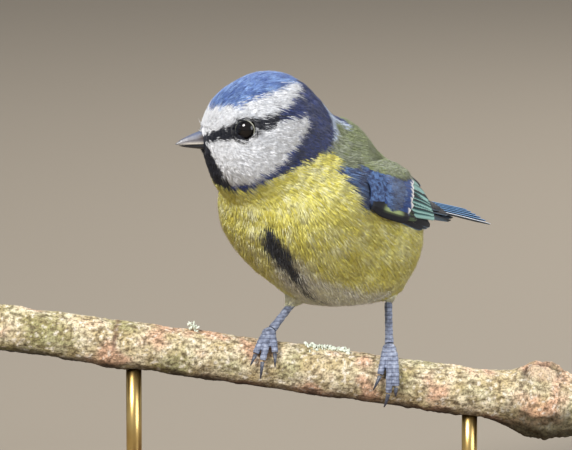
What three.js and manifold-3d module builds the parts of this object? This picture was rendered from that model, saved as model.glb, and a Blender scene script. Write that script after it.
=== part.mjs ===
// A life-size model of a blue tit, 12 cm long, gripping a short cut branch that two rods hold over a flat base.
// Millimetres, +Z up. The branch runs along X and the bird looks towards -Y and -X. The origin is under the base.
import * as THREE from "three";
import { mergeVertices } from "three/addons/utils/BufferGeometryUtils.js";
import Module from "manifold-3d";

const wasm = await Module();
wasm.setup();

const rad = THREE.MathUtils.degToRad;
const lerp = THREE.MathUtils.lerp;
const clamp = THREE.MathUtils.clamp;
const vec = (x, y, z) => new THREE.Vector3(x, y, z);

// Touching solids keep this gap
const GAP = 0.3;

// How finely the rounded solids are divided
const DETAIL = { torso: 8, head: 7, neck: 6, eye: 2, small: 1 };

// Stand: a flat base, two rods, and the height of the branch's axis over the floor
const BASE = { length: 124, width: 78, thickness: 9, corner: 10, bevel: 1.2, centreX: -4 };
const ROD = { radius: 1.9, socket: 5, pin: 3.5, sides: 14, leftX: -46, rightX: 34 };
const PERCH_HEIGHT = 43;

// Branch, in its own frame: X along it, with a swollen knot near the right end
const PERCH = { tilt: 8, left: -80, right: 63, thin: 5.45, thick: 5.9, rings: 30, sides: 14 };
const KNOT = { x: 51, reach: 5.6, swell: 3.1 };
const BARK_ROUGHNESS = 0.16;

// Torso centre over the branch's axis, and the way that the bird faces, in degrees from -Y towards -X
const BIRD = { x: -2.1, y: 4, z: 36.3, yaw: -28 };
// Past this distance behind the torso centre, the rump, tail and wing tips swing to the bird's left
const REAR_SWING = { from: 5, degrees: 4 };

// Head centre in the bird's frame (X left, Y back, Z up), and how the head is turned from the body
const HEAD = { x: -3.9, y: -19.7, z: 23.8, yaw: -50, nod: 8 };

const EYE = { radius: 3.2, aperture: 2.1, x: 0.88, y: -0.53, z: 0.18, sunk: 2.45, lidThickness: 0.42 };
const BILL = { base: -12.6, tip: -21.5, depthUp: 2.5, depthDown: 1.5, halfWidth: 2.25, mouthBase: -1.35, mouthTip: -0.35, overhang: 0.7 };
const NOSTRIL = { y: -14.6, z: 0.75, radius: 0.45 };

const TAIL = { root: 24, tip: 72, rootZ: 3.4, tipZ: -8.3, halfSpread: 6.6, vaneHalfWidth: 3.6, pairs: 6, fork: 3.2 };
const VANE_THICKNESS = 0.56;

// Feet, in the branch's frame: angles run from the top of the branch (0) over its front (positive)
const FEET = {
  left: {
    x: 13.9,
    lean: 4,
    toes: [
      { name: 2, x: [13.1, 12.3], turn: [14, 70], claw: [11.2, 103], lift: 0.3 },
      { name: 3, x: [13.9, 14.9], turn: [12, 103], claw: [14.4, 137], lift: 1.2 },
      { name: 4, x: [14.8, 16.5], turn: [14, 88], claw: [16.7, 112], lift: 0.3 },
      { name: 1, x: [13.9, 13.4], turn: [-8, -72], claw: [13.2, -112], lift: 0.5 },
    ],
    heel: [11.8, 8.5, 21],
  },
  right: {
    x: -15.0,
    lean: 8,
    toes: [
      { name: 2, x: [-14.3, -13.0], turn: [14, 55], claw: [-12.6, 84], lift: 0.4 },
      { name: 3, x: [-15.0, -15.7], turn: [12, 74], claw: [-15.6, 112], lift: 0.5 },
      { name: 4, x: [-15.8, -17.6], turn: [14, 62], claw: [-18.4, 88], lift: 0.4 },
      { name: 1, x: [-15.0, -14.6], turn: [-8, -66], claw: [-14.4, -104], lift: 0.5 },
    ],
    heel: [-7.2, 8.0, 19.5],
  },
};
const TOE = { rootRadius: 1.05, endRadius: 0.78, sides: 8, scutes: 5, ridge: 0.1 };
const CLAW = { rootRadius: 0.6, tipRadius: 0.16, sides: 6, steps: 5 };
const TARSUS = { bottomRadius: 0.92, topRadius: 1.0, sides: 8, scutes: 7, ridge: 0.1 };
const ANKLE = { radius: 1.55, top: 1.15 };

const COLOURS = {
  crown: [0x4f74bd, 0.8],
  collar: [0x1c2a50, 0.8],
  breast: [0xd3c24a, 0.85],
  wing: [0x2f4f8c, 0.7],
  tail: [0x4b78a8, 0.7],
  bill: [0x8a8c96, 0.45],
  billDark: [0x2b2a2d, 0.45],
  eye: [0x0b0808, 0.08],
  leg: [0x5f6a80, 0.6],
  claw: [0x34333a, 0.4],
  bark: [0xa39670, 0.9],
  base: [0x5a4030, 0.5],
  rod: [0x9a8250, 0.35],
};

// Solids and meshes

function solidOf(vertices, triangles) {
  const build = (order) =>
    new wasm.Manifold(
      new wasm.Mesh({
        numProp: 3,
        vertProperties: new Float32Array(vertices.flatMap((v) => [v.x, v.y, v.z])),
        triVerts: new Uint32Array(triangles.flatMap(order)),
      }),
    );
  const made = build(([a, b, c]) => [a, b, c]);
  return made.volume() < 0 ? build(([a, b, c]) => [a, c, b]) : made;
}

function solidOfGeometry(geometry) {
  const bare = new THREE.BufferGeometry();
  bare.setAttribute("position", geometry.getAttribute("position").clone());
  if (geometry.index) bare.setIndex(geometry.index);
  const merged = mergeVertices(bare, 1e-4);
  const at = merged.getAttribute("position");
  const vertices = Array.from({ length: at.count }, (_, i) => vec().fromBufferAttribute(at, i));
  const triangles = [];
  for (let i = 0; i < merged.index.count; i += 3) {
    const [a, b, c] = [0, 1, 2].map((k) => merged.index.getX(i + k));
    if (a !== b && b !== c && a !== c) triangles.push([a, b, c]);
  }
  return solidOf(vertices, triangles);
}

// A closed solid through rings of points. Sides listed in turned split their quads the other way,
// so that the two faces of a thin vane are split alike.
function loft(rings, turned = []) {
  const n = rings[0].length;
  const triangles = [];
  for (let i = 0; i + 1 < rings.length; i++) {
    for (let j = 0; j < n; j++) {
      const k = (j + 1) % n;
      const [a, b, c, d] = [i * n + j, i * n + k, (i + 1) * n + k, (i + 1) * n + j];
      if (turned.includes(j)) triangles.push([a, b, d], [b, c, d]);
      else triangles.push([a, b, c], [a, c, d]);
    }
  }
  const last = (rings.length - 1) * n;
  for (let j = 1; j + 1 < n; j++) {
    triangles.push([0, j + 1, j], [last, last + j, last + j + 1]);
  }
  return solidOf(rings.flat(), triangles);
}

function largest(solid) {
  return solid.decompose().reduce((a, b) => (b.volume() > a.volume() ? b : a));
}

function union(solids) {
  return solids.reduce((a, b) => a.add(b));
}

function meshOf(name, solid, [colour, roughness], metalness = 0) {
  const { numProp, vertProperties, triVerts } = largest(solid).getMesh();
  const positions = new Float32Array((vertProperties.length / numProp) * 3);
  for (let i = 0; i * numProp < vertProperties.length; i++) {
    positions.set(vertProperties.subarray(i * numProp, i * numProp + 3), i * 3);
  }
  const geometry = new THREE.BufferGeometry();
  geometry.setAttribute("position", new THREE.BufferAttribute(positions, 3));
  geometry.setIndex(new THREE.BufferAttribute(new Uint32Array(triVerts), 1));
  geometry.computeVertexNormals();
  const mesh = new THREE.Mesh(geometry, new THREE.MeshStandardMaterial({ color: colour, roughness, metalness }));
  mesh.name = name;
  return mesh;
}

function moved(solid, matrix) {
  return solid.transform([...matrix.elements]);
}

// Everything on the far side of a plane, as one large block
function beyond(point, normal) {
  const size = 200;
  const box = new THREE.BoxGeometry(size, size, size).translate(0, 0, size / 2);
  const turn = new THREE.Quaternion().setFromUnitVectors(vec(0, 0, 1), normal.clone().normalize());
  box.applyQuaternion(turn).translate(point.x, point.y, point.z);
  return solidOfGeometry(box);
}

// Distance fields: negative inside

function ellipsoid(centre, radii) {
  const q = vec();
  return (p) => {
    q.copy(p).sub(centre);
    const near = Math.hypot(q.x / radii[0], q.y / radii[1], q.z / radii[2]);
    const slope = Math.hypot(q.x / radii[0] ** 2, q.y / radii[1] ** 2, q.z / radii[2] ** 2);
    return slope < 1e-9 ? -Math.min(...radii) : (near * (near - 1)) / slope;
  };
}

function taper(from, to, fromRadius, toRadius) {
  const along = to.clone().sub(from);
  const length2 = along.lengthSq();
  const q = vec();
  return (p) => {
    const t = clamp(q.copy(p).sub(from).dot(along) / length2, 0, 1);
    return q.copy(from).addScaledVector(along, t).distanceTo(p) - lerp(fromRadius, toRadius, t);
  };
}

function blend(reach, fields) {
  return (p) =>
    fields.reduce((sum, field) => {
      const d = field(p);
      if (sum === null) return d;
      const h = Math.max(reach - Math.abs(sum - d), 0) / reach;
      return Math.min(sum, d) - (h * h * reach) / 4;
    }, null);
}

// The surface of a field as seen from a centre inside it: a fine icosphere whose vertices move out to the field
function starSolid(field, centre, detail, offset = 0) {
  const sphere = new THREE.IcosahedronGeometry(1, detail);
  sphere.deleteAttribute("normal");
  sphere.deleteAttribute("uv");
  const ball = mergeVertices(sphere, 1e-4);
  const at = ball.getAttribute("position");
  const ray = vec();
  const p = vec();
  for (let i = 0; i < at.count; i++) {
    ray.fromBufferAttribute(at, i).normalize();
    let [inner, outer] = [0, 0.5];
    while (field(p.copy(centre).addScaledVector(ray, outer)) < offset && outer < 90) {
      inner = outer;
      outer += 0.5;
    }
    for (let k = 0; k < 18; k++) {
      const middle = (inner + outer) / 2;
      if (field(p.copy(centre).addScaledVector(ray, middle)) < offset) inner = middle;
      else outer = middle;
    }
    at.setXYZ(i, p.x, p.y, p.z);
  }
  return solidOfGeometry(ball);
}

// Frames

const perchFrame = new THREE.Matrix4()
  .makeTranslation(0, 0, PERCH_HEIGHT)
  .multiply(new THREE.Matrix4().makeRotationY(rad(PERCH.tilt)));
const birdFrame = new THREE.Matrix4()
  .makeTranslation(BIRD.x, BIRD.y, BIRD.z + PERCH_HEIGHT)
  .multiply(new THREE.Matrix4().makeRotationZ(rad(BIRD.yaw)));
const headFrame = new THREE.Matrix4()
  .makeTranslation(HEAD.x, HEAD.y, HEAD.z)
  .multiply(new THREE.Matrix4().makeRotationZ(rad(HEAD.yaw)))
  .multiply(new THREE.Matrix4().makeRotationX(rad(HEAD.nod)));
const headFromBird = headFrame.clone().invert();
const birdFromPerch = birdFrame.clone().invert().multiply(perchFrame);

// Head, neck and torso share one field, so their cut faces meet

const headField = blend(4, [
  ellipsoid(vec(0, 0.5, 0), [12.6, 13.8, 12.3]),
  ellipsoid(vec(0, 0.8, 3), [8.6, 8.8, 9]),
  ellipsoid(vec(5.5, -2.5, -4.5), [7.6, 9.5, 8.5]),
  ellipsoid(vec(-5.5, -2.5, -4.5), [7.6, 9.5, 8.5]),
  ellipsoid(vec(0, -10.8, -0.6), [5.2, 5.2, 4.9]),
  ellipsoid(vec(0, -7.5, -8), [7, 7, 7]),
  ellipsoid(vec(0, -7, 4), [7.4, 5.8, 5.4]),
]);
const trunkField = blend(7, [
  ellipsoid(vec(2.2, 3.4, -2), [20.4, 23.6, 19]),
  ellipsoid(vec(7.6, 7, -7), [12.8, 12.8, 11.8]),
  ellipsoid(vec(-3.2, 7, -7), [12.8, 12.8, 11.8]),
  ellipsoid(vec(-0.6, -10.5, 4.6), [19.8, 14.8, 16.2]),
  taper(vec(-0.5, 4, 7), vec(1.5, 27, 3.6), 14.4, 6.2),
]);
const headInBird = vec();
const fleshField = blend(7, [
  trunkField,
  taper(vec(0.4, -7, 12.6), vec(HEAD.x + 0.4, HEAD.y + 0.8, HEAD.z - 0.6), 15.6, 10.4),
  (p) => headField(headInBird.copy(p).applyMatrix4(headFromBird)),
]);

const headCentre = vec(HEAD.x, HEAD.y, HEAD.z);
const neckCut = { point: vec(-2, -13.5, 13.5), normal: vec(-0.12, -0.42, 0.9) };
const headCut = { point: vec(-2.9, -15.5, 18.5), normal: vec(-0.14, -0.3, 0.94) };

const beyondCut = (cut, shift) => beyond(cut.point.clone().addScaledVector(cut.normal.clone().normalize(), shift), cut.normal);

function thighField() {
  return blend(
    3,
    Object.values(FEET).map((foot) => {
      const knee = vec(...foot.heel).applyMatrix4(perchFrame).applyMatrix4(birdFrame.clone().invert());
      return taper(knee.clone().lerp(vec(0, 2, -2), 0.5), knee, 6, 2.6);
    }),
  );
}
const trunkWithThighs = blend(5, [fleshField, thighField()]);

const TAIL_CUT = { point: vec(2.2, 30, 2.6), normal: vec(0.07, 0.97, -0.24) };

function makeTorso() {
  return starSolid(trunkWithThighs, vec(0, 0, 0), DETAIL.torso)
    .subtract(beyondCut(neckCut, -GAP / 2))
    .subtract(beyondCut(TAIL_CUT, -GAP / 2));
}

function makeNeck() {
  const whole = starSolid(fleshField, vec(-2.4, -14.5, 15.5), DETAIL.neck);
  return whole.intersect(beyondCut(neckCut, GAP / 2)).subtract(beyondCut(headCut, -GAP / 2));
}

function eyeCentre(side) {
  const ray = vec(side * EYE.x, EYE.y, EYE.z).normalize();
  let reach = 5;
  while (headField(ray.clone().multiplyScalar(reach)) < 0) reach += 0.02;
  const axis = vec(side * 0.9, -0.4, 0.1).normalize();
  return { centre: ray.multiplyScalar(reach).addScaledVector(axis, -EYE.sunk), axis };
}

// The eyelids: a thin ring round the opening of the socket
function makeLids(side) {
  const { centre, axis } = eyeCentre(side);
  const ring = new THREE.TorusGeometry(EYE.aperture + EYE.lidThickness * 1.55, EYE.lidThickness, 5, 16);
  const turn = new THREE.Quaternion().setFromUnitVectors(vec(0, 0, 1), axis);
  ring.applyQuaternion(turn);
  const out = centre.clone().addScaledVector(axis, EYE.radius * 0.76);
  return solidOfGeometry(ring.translate(out.x, out.y, out.z));
}

function eyeball(side, radius) {
  const { centre } = eyeCentre(side);
  const ball = new THREE.IcosahedronGeometry(radius, DETAIL.eye);
  return solidOfGeometry(ball.translate(centre.x, centre.y, centre.z));
}

function makeHead() {
  const inHead = (p) => fleshField(p.clone().applyMatrix4(headFrame));
  const cut = beyondCut(headCut, GAP / 2);
  let head = starSolid(inHead, vec(0, 0, 0), DETAIL.head).intersect(moved(cut, headFromBird));
  for (const side of [1, -1]) {
    head = head.add(makeLids(side)).subtract(eyeball(side, EYE.radius + GAP));
  }
  return head.subtract(billHalf(true, GAP)).subtract(billHalf(false, GAP));
}

// Bill: each half is a loft of half-round sections that shrink to the tip
function billHalf(up, grow = 0, steps = 6) {
  const side = up ? 1 : -1;
  const tip = BILL.tip + (up ? 0 : BILL.overhang);
  const rings = [];
  for (let i = 0; i <= steps; i++) {
    const t = i / steps;
    const share = Math.pow(1 - t, 0.72) * 0.95 + 0.05;
    const y = lerp(BILL.base + grow, tip - grow, t);
    const mouth = lerp(BILL.mouthBase, BILL.mouthTip, t) + side * (GAP / 2 - grow);
    const width = BILL.halfWidth * share + grow;
    const depth = (up ? BILL.depthUp - BILL.mouthBase : BILL.depthDown) * share + 2 * grow;
    const ring = [];
    for (let k = 0; k <= 6; k++) {
      const a = (Math.PI * k) / 6;
      ring.push(vec(width * Math.cos(a), y, mouth + side * depth * Math.sin(a)));
    }
    rings.push(ring);
  }
  return loft(rings);
}

function makeBill(up) {
  let half = billHalf(up);
  if (up) {
    for (const side of [1, -1]) {
      const pit = new THREE.IcosahedronGeometry(NOSTRIL.radius, DETAIL.small);
      pit.scale(1, 1.7, 1).translate(side * BILL.halfWidth * 0.86, NOSTRIL.y, NOSTRIL.z);
      half = half.subtract(solidOfGeometry(pit));
    }
  }
  return half;
}

// Wings: one curved guide surface a side, over which every feather lies
// Across 0 is the lower, leading edge and 1 the upper edge, from the wrist (along 0) to the wing tip (along 1)

const WING_EDGES = {
  lower: [vec(18.6, -11.5, 4.6), vec(21.6, -2, 1.6), vec(21.2, 13, -2.6), vec(15.5, 30, -6.2), vec(8.6, 47.5, -8)],
  upper: [vec(14, -10, 12.8), vec(14.4, 1, 12.2), vec(12.6, 15, 8.8), vec(8.4, 31, 3.2), vec(6.9, 48, -5)],
};
const lowerEdge = new THREE.CatmullRomCurve3(WING_EDGES.lower);
const upperEdge = new THREE.CatmullRomCurve3(WING_EDGES.upper);
const WING_BULGE = { root: 3.6, tip: 0.7 };
const WING_LIFT = 0.6;

const swing = (y) => Math.max(0, y - REAR_SWING.from) * Math.tan(rad(REAR_SWING.degrees));

// Moves a point out of a field's surface until it is a distance clear of it
function clearOf(field, p, distance) {
  const e = 0.05;
  const steps = [vec(e, 0, 0), vec(0, e, 0), vec(0, 0, e)];
  for (let k = 0; k < 12 && field(p) < distance; k++) {
    const [x, y, z] = steps.map((step) => field(p.clone().add(step)) - field(p.clone().sub(step)));
    p.addScaledVector(vec(x, y, z).normalize(), (distance - field(p)) * 1.02);
  }
  return p;
}

function wingGuide(side, along, across) {
  const low = lowerEdge.getPoint(clamp(along, 0, 1));
  const high = upperEdge.getPoint(clamp(along, 0, 1));
  const p = low.clone().lerp(high, across);
  const bulge = lerp(WING_BULGE.root, WING_BULGE.tip, clamp(along * 1.3, 0, 1)) * 4 * across * (1 - across);
  p.x += bulge * 0.8;
  p.z += bulge * 0.6;
  p.x = side * p.x + swing(p.y);
  return clearOf(fleshField, p, WING_LIFT);
}

function wingNormal(side, along, across) {
  const e = 0.02;
  const [a0, a1] = [Math.max(along - e, 0), Math.min(along + e, 1)];
  const [c0, c1] = [Math.max(across - e, 0), Math.min(across + e, 1)];
  const u = wingGuide(side, a1, across).sub(wingGuide(side, a0, across));
  const v = wingGuide(side, along, c1).sub(wingGuide(side, along, c0));
  return u.cross(v).multiplyScalar(side).normalize();
}

// Half-width of a vane along its length: narrow at the root, full in the middle, round at the tip
function vaneWidth(t, roundness) {
  const root = 0.55 + 0.45 * Math.min(1, t / 0.3);
  const end = clamp((t - (1 - roundness)) / roundness, 0, 1);
  return root * Math.sqrt(Math.max(1 - end * end, 0.02));
}

const COVERT_STEPS = [0, 0.5, 0.85, 1];
const VANE_STEPS = [0, 0.35, 0.72, 0.92, 1];

// One feather of the wing, from a root to a tip on the guide surface, at a height over it
function wingVane(side, { root, tip, half, height, roundness = 0.3, steps = VANE_STEPS }) {
  const rings = steps.map((t) => {
    const [along, across] = [lerp(root[0], tip[0], t), lerp(root[1], tip[1], t)];
    const [ahead, aheadAcross] = [lerp(root[0], tip[0], t + 0.02), lerp(root[1], tip[1], t + 0.02)];
    const centre = wingGuide(side, along, across);
    const normal = wingNormal(side, along, across);
    const forward = wingGuide(side, ahead, aheadAcross).sub(centre).normalize();
    if (forward.lengthSq() < 0.5) forward.copy(vec(0, 1, -0.2).normalize());
    const sideways = normal.clone().cross(forward).normalize();
    const w = half * vaneWidth(t, roundness);
    const low = lerp(height[0], height[1], t);
    const at = (x, h) => centre.clone().addScaledVector(sideways, x).addScaledVector(normal, h);
    return [at(-w, low), at(w, low), at(w, low + VANE_THICKNESS), at(-w, low + VANE_THICKNESS)];
  });
  return loft(rings, [2]);
}

// The arm and hand under the coverts: a pad over the front of the guide surface
function wingPad(side) {
  const [rows, columns] = [5, 5];
  const rings = [];
  for (let i = 0; i <= rows; i++) {
    const along = lerp(0, 0.46, i / rows);
    const [top, bottom] = [[], []];
    for (let j = 0; j <= columns; j++) {
      const across = lerp(0.05, 0.95, j / columns);
      const p = wingGuide(side, along, across);
      const n = wingNormal(side, along, across);
      const dome = Math.sqrt(Math.sin((Math.PI * (j + 0.6)) / (columns + 1.2)));
      const lengthwise = Math.min(1, 0.35 + i / 2.2, 0.42 + (rows - i) / 4);
      bottom.push(p.clone().addScaledVector(n, 0));
      top.push(p.clone().addScaledVector(n, 2.3 * dome * lengthwise));
    }
    rings.push([...bottom, ...top.reverse()]);
  }
  const turned = Array.from({ length: columns }, (_, j) => columns + 1 + j);
  return loft(rings, turned);
}

function makeWing(side) {
  const vanes = [];
  const add = (count, make) => {
    for (let i = 0; i < count; i++) vanes.push(make(i, count > 1 ? i / (count - 1) : 0));
  };
  // Primaries: the long blade, the outermost lowest
  add(4, (i, t) => ({
    root: [0.3, lerp(0.16, 0.34, t)],
    tip: [lerp(0.985, 0.74, t ** 1.2), lerp(0.32, 0.46, t)],
    half: 2.6,
    height: [0.1 + 0.1 * i, 0.05 + 0.16 * i],
    roundness: 0.22,
  }));
  // Secondaries: stepped edges over the primaries
  add(4, (i, t) => ({
    root: [0.3, lerp(0.4, 0.68, t)],
    tip: [lerp(0.72, 0.66, t), lerp(0.36, 0.78, t)],
    half: 2.7,
    height: [0.7 + 0.1 * i, 1.1 + 0.14 * i],
    roundness: 0.26,
  }));
  // Tertials: the uppermost, over the rump
  add(2, (i, t) => ({
    root: [0.3, lerp(0.74, 0.86, t)],
    tip: [lerp(0.74, 0.58, t), lerp(0.84, 1.02, t)],
    half: lerp(3.0, 2.6, t),
    height: [1.1 + 0.12 * i, 1.9 + 0.25 * i],
    roundness: 0.4,
  }));
  // Greater coverts: a row whose tips make the wing bar
  add(5, (i, t) => ({
    root: [lerp(0.14, 0.16, t), lerp(0.2, 0.86, t)],
    tip: [lerp(0.39, 0.47, t), lerp(0.24, 0.93, t)],
    half: 2.3,
    height: [1.9 + 0.04 * i, 2.0 + 0.12 * i],
    roundness: 0.35,
    steps: COVERT_STEPS,
  }));
  // Median coverts: shorter and over the row before
  add(4, (i, t) => ({
    root: [lerp(0.04, 0.08, t), lerp(0.24, 0.84, t)],
    tip: [lerp(0.24, 0.3, t), lerp(0.26, 0.9, t)],
    half: 2.5,
    height: [2.1, 2.75 + 0.05 * i],
    roundness: 0.5,
    steps: COVERT_STEPS,
  }));
  // Primary coverts and the alula, along the lower front edge
  add(3, (i, t) => ({
    root: [lerp(0.12, 0.17, t), lerp(0.05, 0.12, t)],
    tip: [lerp(0.33, 0.5, t), lerp(0.06, 0.2, t)],
    half: 1.5,
    height: [1.3 - 0.1 * i, 1.7 - 0.3 * i],
    roundness: 0.35,
    steps: COVERT_STEPS,
  }));
  return union([wingPad(side), ...vanes.map((v) => wingVane(side, v))])
    .subtract(starSolid(fleshField, vec(0, 0, 0), DETAIL.torso, GAP))
    .subtract(starSolid(fleshField, headCentre, DETAIL.head, GAP));
}

// Tail: twelve feathers in a closed fan, the middle pair on top, with a shallow fork

function tailPoint(along, aside, height) {
  const y = lerp(TAIL.root, TAIL.tip, along);
  const z = lerp(TAIL.rootZ, TAIL.tipZ, along) - 0.035 * aside * aside;
  return vec(aside + swing(y), y, z + height);
}

function makeTail() {
  const pieces = [];
  for (let i = 0; i < TAIL.pairs; i++) {
    for (const side of [1, -1]) {
      const outward = (side * (i + 0.5)) / TAIL.pairs;
      const drop = -0.34 * i + (side > 0 ? 0.17 : 0);
      const end = 1 - ((TAIL.fork * (1 - (i / (TAIL.pairs - 1)) ** 1.2)) / (TAIL.tip - TAIL.root));
      const rings = VANE_STEPS.map((t) => {
        const along = lerp(0.14, end, t);
        const centre = outward * lerp(2.2, TAIL.halfSpread, t);
        const w = lerp(0.75, 1, t) * TAIL.vaneHalfWidth * vaneWidth(t, 0.16) * 0.72;
        return [
          tailPoint(along, centre - w, drop),
          tailPoint(along, centre + w, drop),
          tailPoint(along, centre + w, drop + VANE_THICKNESS),
          tailPoint(along, centre - w, drop + VANE_THICKNESS),
        ];
      });
      pieces.push(loft(rings, [2]));
    }
  }
  // The fleshy root, which the rump and the coverts hide
  const root = blend(3, [taper(vec(0.8, 22, 3.6), vec(3, 38, 0.6), 6.6, 1.6)]);
  const stub = starSolid(root, vec(1.6, 28, 2.8), 5).intersect(beyondCut(TAIL_CUT, GAP / 2));
  return union([stub, ...pieces.map((v) => v.intersect(beyondCut(TAIL_CUT, GAP / 2)))]);
}

// Branch

function bark(x, a) {
  const growth = lerp(PERCH.thin, PERCH.thick, THREE.MathUtils.smoothstep(x, PERCH.left, 0));
  const knot = KNOT.swell * Math.exp(-(((x - KNOT.x) / KNOT.reach) ** 2)) * (1 + 0.18 * Math.cos(2 * a));
  const past = 0.9 * THREE.MathUtils.smoothstep(x, KNOT.x, KNOT.x + 8);
  const bud = 0.9 * Math.exp(-(((x + 52) / 4) ** 2)) * Math.max(0, -Math.cos(a));
  const rough = BARK_ROUGHNESS * (Math.sin(0.9 * x + 2 * a) + Math.sin(2.1 * x - 3 * a + 1));
  const nearFeet = Math.max(0, 1 - Math.abs(Math.abs(x) - 14.5) / 7);
  return growth + knot + past + bud + rough * (1 - nearFeet);
}

function makePerch(grow = 0) {
  const rings = [];
  for (let i = 0; i <= PERCH.rings; i++) {
    const x = lerp(PERCH.left - grow, PERCH.right + grow, i / PERCH.rings);
    const ring = [];
    for (let j = 0; j < PERCH.sides; j++) {
      const a = (2 * Math.PI * j) / PERCH.sides;
      const r = bark(x, a) + grow;
      ring.push(vec(x, -r * Math.sin(a), r * Math.cos(a)));
    }
    rings.push(ring);
  }
  return loft(rings);
}

// A point beside the branch: its place along, the angle from the top over the front, and its height over the bark
function overPerch(x, angle, height) {
  const a = rad(angle);
  const r = bark(x, a) + height;
  return vec(x, -r * Math.sin(a), r * Math.cos(a));
}

// A round tube through a path, with the radius given along it
function tube(points, radii, sides, up) {
  const rings = points.map((p, i) => {
    const forward = points[Math.min(i + 1, points.length - 1)].clone().sub(points[Math.max(i - 1, 0)]).normalize();
    const sideways = forward.clone().cross(up(p)).normalize();
    const over = sideways.clone().cross(forward);
    return Array.from({ length: sides }, (_, k) => {
      const a = (2 * Math.PI * (k + 0.5)) / sides;
      return p.clone().addScaledVector(sideways, radii[i] * Math.cos(a)).addScaledVector(over, radii[i] * Math.sin(a));
    });
  });
  return loft(rings);
}

const awayFromPerch = (p) => vec(0, p.y, p.z).normalize();

// Where the last ring of a toe lies, and the claw begins
function toeRadius(t) {
  return lerp(TOE.rootRadius, TOE.endRadius, t);
}

function makeToe({ x, turn }) {
  const points = [];
  const radii = [];
  const steps = TOE.scutes * 2;
  for (let i = 0; i <= steps; i++) {
    const t = i / steps;
    const r = toeRadius(t);
    radii.push(r + (i % 2 ? TOE.ridge / 2 : -TOE.ridge / 2));
    points.push(overPerch(lerp(x[0], x[1], t), lerp(turn[0], turn[1], t), GAP + r + TOE.ridge / 2));
  }
  return tube(points, radii, TOE.sides, awayFromPerch);
}

function makeClaw({ x, turn, claw, lift }) {
  const points = [];
  const radii = [];
  const start = GAP / ((PERCH.thick + 1) * rad(1));
  for (let i = 0; i <= CLAW.steps; i++) {
    const t = i / CLAW.steps;
    const r = lerp(CLAW.rootRadius, CLAW.tipRadius, t);
    const first = turn[1] + Math.sign(turn[1]) * start * 1.5;
    radii.push(r);
    const arch = lift * t + 0.35 * Math.sin(Math.PI * t);
    points.push(overPerch(lerp(x[1], claw[0], t), lerp(first, claw[1], t), GAP + lerp(TOE.endRadius, r, t) + arch));
  }
  return tube(points, radii, CLAW.sides, awayFromPerch);
}

function ankle(foot) {
  const ball = overPerch(foot.x, foot.lean, GAP + ANKLE.radius * 0.92);
  const up = vec(...foot.heel).sub(ball).normalize();
  return { ball, up };
}

function makeFoot(foot) {
  const { ball, up } = ankle(foot);
  const pad = new THREE.IcosahedronGeometry(ANKLE.radius, DETAIL.small);
  pad.scale(1.15, 1.25, 0.92).translate(ball.x, ball.y, ball.z);
  const toes = foot.toes.map((toe) => makeToe(toe));
  const stump = tube([ball, ball.clone().addScaledVector(up, ANKLE.top + 1)], [1.3, 1.15], 8, () => vec(1, 0, 0.01));
  const whole = union([solidOfGeometry(pad), stump, ...toes]);
  return whole
    .subtract(beyond(ball.clone().addScaledVector(up, ANKLE.top), up))
    .subtract(makePerch(GAP * 0.9));
}

function makeTarsus(foot) {
  const { ball, up } = ankle(foot);
  const heel = vec(...foot.heel);
  const from = ball.clone().addScaledVector(up, ANKLE.top + GAP);
  const points = [];
  const radii = [];
  const steps = TARSUS.scutes * 2;
  for (let i = 0; i <= steps; i++) {
    const t = i / steps;
    const flare = 0.25 * Math.exp(-t * 9);
    points.push(from.clone().lerp(heel, t));
    radii.push(lerp(TARSUS.bottomRadius, TARSUS.topRadius, t) + flare + (i % 2 ? 1 : -1) * (TARSUS.ridge / 2));
  }
  return tube(points, radii, TARSUS.sides, () => vec(1, 0, 0.01));
}

// Stand

function makeBase() {
  const { length, width, thickness, corner, bevel, centreX } = BASE;
  const [x, y] = [length / 2 - bevel, width / 2 - bevel];
  const r = corner - bevel;
  const outline = new THREE.Shape();
  outline.moveTo(-x + r, -y);
  outline.lineTo(x - r, -y).absarc(x - r, -y + r, r, -Math.PI / 2, 0, false);
  outline.lineTo(x, y - r).absarc(x - r, y - r, r, 0, Math.PI / 2, false);
  outline.lineTo(-x + r, y).absarc(-x + r, y - r, r, Math.PI / 2, Math.PI, false);
  outline.lineTo(-x, -y + r).absarc(-x + r, -y + r, r, Math.PI, 1.5 * Math.PI, false);
  const plate = new THREE.ExtrudeGeometry(outline, {
    depth: thickness - bevel,
    bevelThickness: bevel,
    bevelSize: bevel,
    bevelSegments: 1,
    curveSegments: 4,
  });
  plate.translate(centreX, 0, 0);
  const solid = solidOfGeometry(plate).subtract(beyond(vec(0, 0, 0), vec(0, 0, -1)));
  const sockets = [ROD.leftX, ROD.rightX].map((rodX) =>
    rodSolid(rodX, thickness - ROD.socket, thickness + 1, ROD.radius + GAP),
  );
  return sockets.reduce((a, b) => a.subtract(b), solid);
}

function rodSolid(x, from, to, radius) {
  const rod = new THREE.CylinderGeometry(radius, radius, to - from, ROD.sides);
  rod.rotateX(Math.PI / 2).translate(x, 0, (from + to) / 2);
  return solidOfGeometry(rod);
}

const rodTop = (x) => PERCH_HEIGHT - x * Math.tan(rad(PERCH.tilt)) - PERCH.thick + ROD.pin;

function makeRod(x) {
  return rodSolid(x, BASE.thickness - ROD.socket + GAP, rodTop(x), ROD.radius);
}

function drilledPerch() {
  const toPerch = perchFrame.clone().invert();
  return [ROD.leftX, ROD.rightX].reduce(
    (perch, x) => perch.subtract(moved(rodSolid(x, 10, rodTop(x) + GAP, ROD.radius + GAP), toPerch)),
    makePerch(),
  );
}

// The scene graph: the stand, the branch with the feet on it, and the bird with its head

const group = new THREE.Group();

const branch = new THREE.Group();
branch.applyMatrix4(perchFrame);
branch.add(meshOf("perch", drilledPerch(), COLOURS.bark));

const bird = new THREE.Group();
bird.applyMatrix4(birdFrame);

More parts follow.
